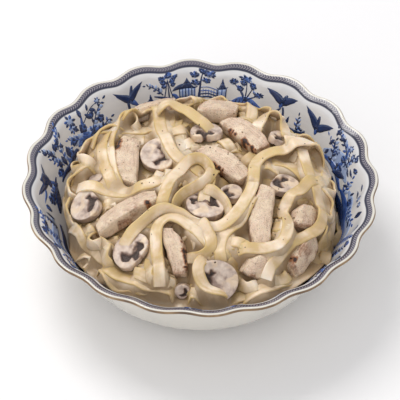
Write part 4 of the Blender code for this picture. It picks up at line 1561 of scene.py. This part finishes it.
def sauce_body():
    """The sauce's wavy top, closed below by a skin just inside the bowl."""
    points, faces, deep = [(0, 0, between(sauce, 0, 0))], [], [0.0]
    turns = [2 * math.pi * i / SAUCE_TURNS for i in range(SAUCE_TURNS)]
    edges = [float(fill_heights(math.cos(a) * 90, math.sin(a) * 90)) - SAUCE_BELOW for a in turns]
    contacts = [wall_share_at(height) for height in edges]
    for ring in range(1, SAUCE_RINGS + 1):
        for angle, edge, contact in zip(turns, edges, contacts):
            outer = wall_line(contact)[0] - SAUCE_OFF_CHINA - lobe_depth(edge)
            radius = outer * (ring / SAUCE_RINGS) ** 0.92
            x, y = radius * math.cos(angle), radius * math.sin(angle)
            z = max(between(sauce, x, y), edge) if ring < SAUCE_RINGS else edge
            points.append((x, y, z))
            # How deep it lies below the heap round about, for the painted shade in its colour.
            deep.append(within_one((between(crest, x, y) - z - 0.8) / 5.0))
    for level in range(1, SAUCE_SKINS + 1):
        for angle, contact in zip(turns, contacts):
            radius, height, _ = wall_line(contact * (1 - level / SAUCE_SKINS))
            r = radius - SAUCE_OFF_CHINA - lobe_depth(height)
            points.append((r * math.cos(angle), r * math.sin(angle), height + 0.5))
            deep.append(0.5)
    points.append((0, 0, FLOOR_HEIGHT + 0.5))
    deep.append(0.5)
    rings = (len(points) - 2) // SAUCE_TURNS
    for i in range(SAUCE_TURNS):
        j = (i + 1) % SAUCE_TURNS
        faces.append((0, 1 + i, 1 + j))
        last = 1 + (rings - 1) * SAUCE_TURNS
        faces.append((last + i, len(points) - 1, last + j))
        for level in range(rings - 1):
            low = 1 + level * SAUCE_TURNS
            faces.append((low + i, low + SAUCE_TURNS + i, low + SAUCE_TURNS + j, low + j))
    return plain_mesh("cream_sauce", points, faces, deep=deep)


def cream():
    """Thick pale sauce, with painted shade that browns it where it lies deep in the hollows, and
    its palest patches partly painted highlights.
    """
    made, tree, shader = fleshy("cream sauce", 0.34, *CREAMY, IOR=1.42)
    where = own_place(tree)
    # The palest tone is partly whiter cream and partly a painted highlight, in random patches.
    tones = (0.35, (0.66, 0.485, 0.305)), (0.50, (0.79, 0.62, 0.43)), (0.66, (0.91, 0.78, 0.62))
    colour = ramp(tree, cloudy(tree, where, 70.0, 4.0, Distortion=0.5), *tones)
    # Painted shade: browner where the sauce lies deep between the ribbons.
    deep = sums(tree, "MULTIPLY", attribute(tree, "deep"), 0.85)
    colour = blended(tree, deep, colour, (0.27, 0.17, 0.08))
    connect(tree, shader, colour, None, cloudy(tree, where, 380.0), 0.35, 0.0005)
    return made


place("cream_sauce", sauce_body(), cream(), "pasta_in_cream")

# --- Crumbs -------------------------------------------------------------------------------------
# Dark crumbs of the seared chicken, up to a millimetre and a half across, caught in the sauce.
# Most of them lie near the pieces that they broke off.

CRUMBS = 100
CRUMB_SCATTER = 16


def crumb_nodes():
    """Geometry nodes that put a small uneven grain, turned at random, on every point."""
    inputs = (
        ("Places", "Geometry"),
        ("Smallest", "Float", 0.25 * MM),
        ("Largest", "Float", 0.8 * MM),
        ("Finish", "Material"),
    )
    tree, given, result = new_group("crumbs", "GeometryNodeTree", inputs, [("Crumbs", "Geometry")])
    grain = node(tree, "GeometryNodeMeshIcoSphere", {"Radius": 1.0, "Subdivisions": 1})
    turns = {0: (0.0, 0.0, 0.0), 1: (6.0, 6.0, 6.0), "Seed": 3}
    turned = node(tree, "FunctionNodeRandomValue", turns, data_type="FLOAT_VECTOR")
    sizes = {2: given["Smallest"], 3: given["Largest"], "Seed": 8}
    wide = node(tree, "FunctionNodeRandomValue", sizes).outputs[1]
    size = node(tree, "ShaderNodeCombineXYZ", {0: wide, 1: wide, 2: given["Smallest"]})
    inputs = {
        "Points": given["Places"],
        "Instance": grain.outputs[0],
        "Rotation": turned.outputs[0],
        "Scale": size.outputs[0],
    }
    scattered = node(tree, "GeometryNodeInstanceOnPoints", inputs).outputs[0]
    tree.links.new(finished(tree, scattered, given["Finish"]), result[0])
    return tree


def crumb_places():
    """Places on top of the heap, most of them near a piece of chicken."""
    pick = random.Random(21)
    top = np.maximum(heaped, sauce)
    spots = []
    while len(spots) < CRUMBS:
        centre_x, centre_y = pick.choice(CHICKEN)[1]
        x, y = centre_x + pick.gauss(0, CRUMB_SCATTER), centre_y + pick.gauss(0, CRUMB_SCATTER)
        if math.hypot(x, y) < 80:
            spots.append((x * MM, y * MM, (between(top, x, y) + 0.05) * MM))
    cloud = bpy.data.meshes.new("crumb places")
    cloud.from_pydata(spots, [], [])
    return cloud


def burnt():
    """Browned to black."""
    made, tree, shader = new_material("burnt crumb", 0.55)
    patch = cloudy(tree, own_place(tree), 90.0)
    connect(tree, shader, ramp(tree, patch, (0.4, (0.03, 0.015, 0.01)), (0.6, (0.16, 0.08, 0.04))))
    return made


crumbs = grown_mesh("seared_crumbs", crumb_places(), crumb_nodes(), burnt())
place("seared_crumbs", crumbs, None, "chicken")

# --- Camera, lights and floor -------------------------------------------------------------------
# The bowl seen from high in front. It stands on a pale table top, under one large soft lamp over
# the back left and a weaker one in front.

ELEVATION, ROLL = math.radians(46.3), math.radians(1.0)
DISTANCE = 3.0
VIEW_WIDTH = 0.2615
VIEW_SHIFT = Vector((0.000326875, 0.0105057625, 0))
FILM_WIDTH = 36
sight = Matrix.Rotation(math.pi / 2 - ELEVATION, 4, "X") @ Matrix.Rotation(ROLL, 4, "Z")
aim = Vector((0, 0, RIM_HEIGHT * MM)) - sight @ VIEW_SHIFT
camera = in_scene("camera", bpy.data.cameras.new("camera"))
camera.data.sensor_width = FILM_WIDTH
camera.data.lens = FILM_WIDTH * DISTANCE / VIEW_WIDTH
camera.matrix_world = Matrix.Translation(aim + sight @ Vector((0, 0, DISTANCE))) @ sight
bpy.context.scene.camera = camera


def lamp(name, where, size, power, colour):
    """A square soft lamp that faces the bowl."""
    made = in_scene(name, bpy.data.lights.new(name, "AREA"))
    made.data.energy = power
    made.data.size = size
    made.data.color = colour
    made.location = where
    made.rotation_mode = "QUATERNION"
    made.rotation_quaternion = (Vector((0, 0, 0.05)) - Vector(where)).to_track_quat("-Z", "Y")


lamp("key lamp", (-0.58, 0.58, 1.60), 0.8, 14.4, (1.0, 0.985, 0.965))
lamp("front lamp", (-0.4, -1.4, 1.2), 1.4, 6.5, (1.0, 0.99, 0.98))

floor_mesh = bpy.data.meshes.new("table top")
floor_mesh.from_pydata([(-6, -6, 0), (6, -6, 0), (6, 6, 0), (-6, 6, 0)], [], [(0, 1, 2, 3)])
floor_finish, _, floor_shader = new_material("table top", 0.6)
floor_shader.inputs["Base Color"].default_value = (0.90, 0.89, 0.895, 1)
floor_mesh.materials.append(floor_finish)
table_top = in_scene("table top", floor_mesh)

world = bpy.data.worlds.new("studio")
bpy.context.scene.world = world
world.use_nodes = True
sky = world.node_tree.nodes["Background"].inputs
sky["Color"].default_value = (0.97, 0.98, 1.0, 1)
sky["Strength"].default_value = 0.68
bpy.context.scene.view_settings.view_transform = "Standard"
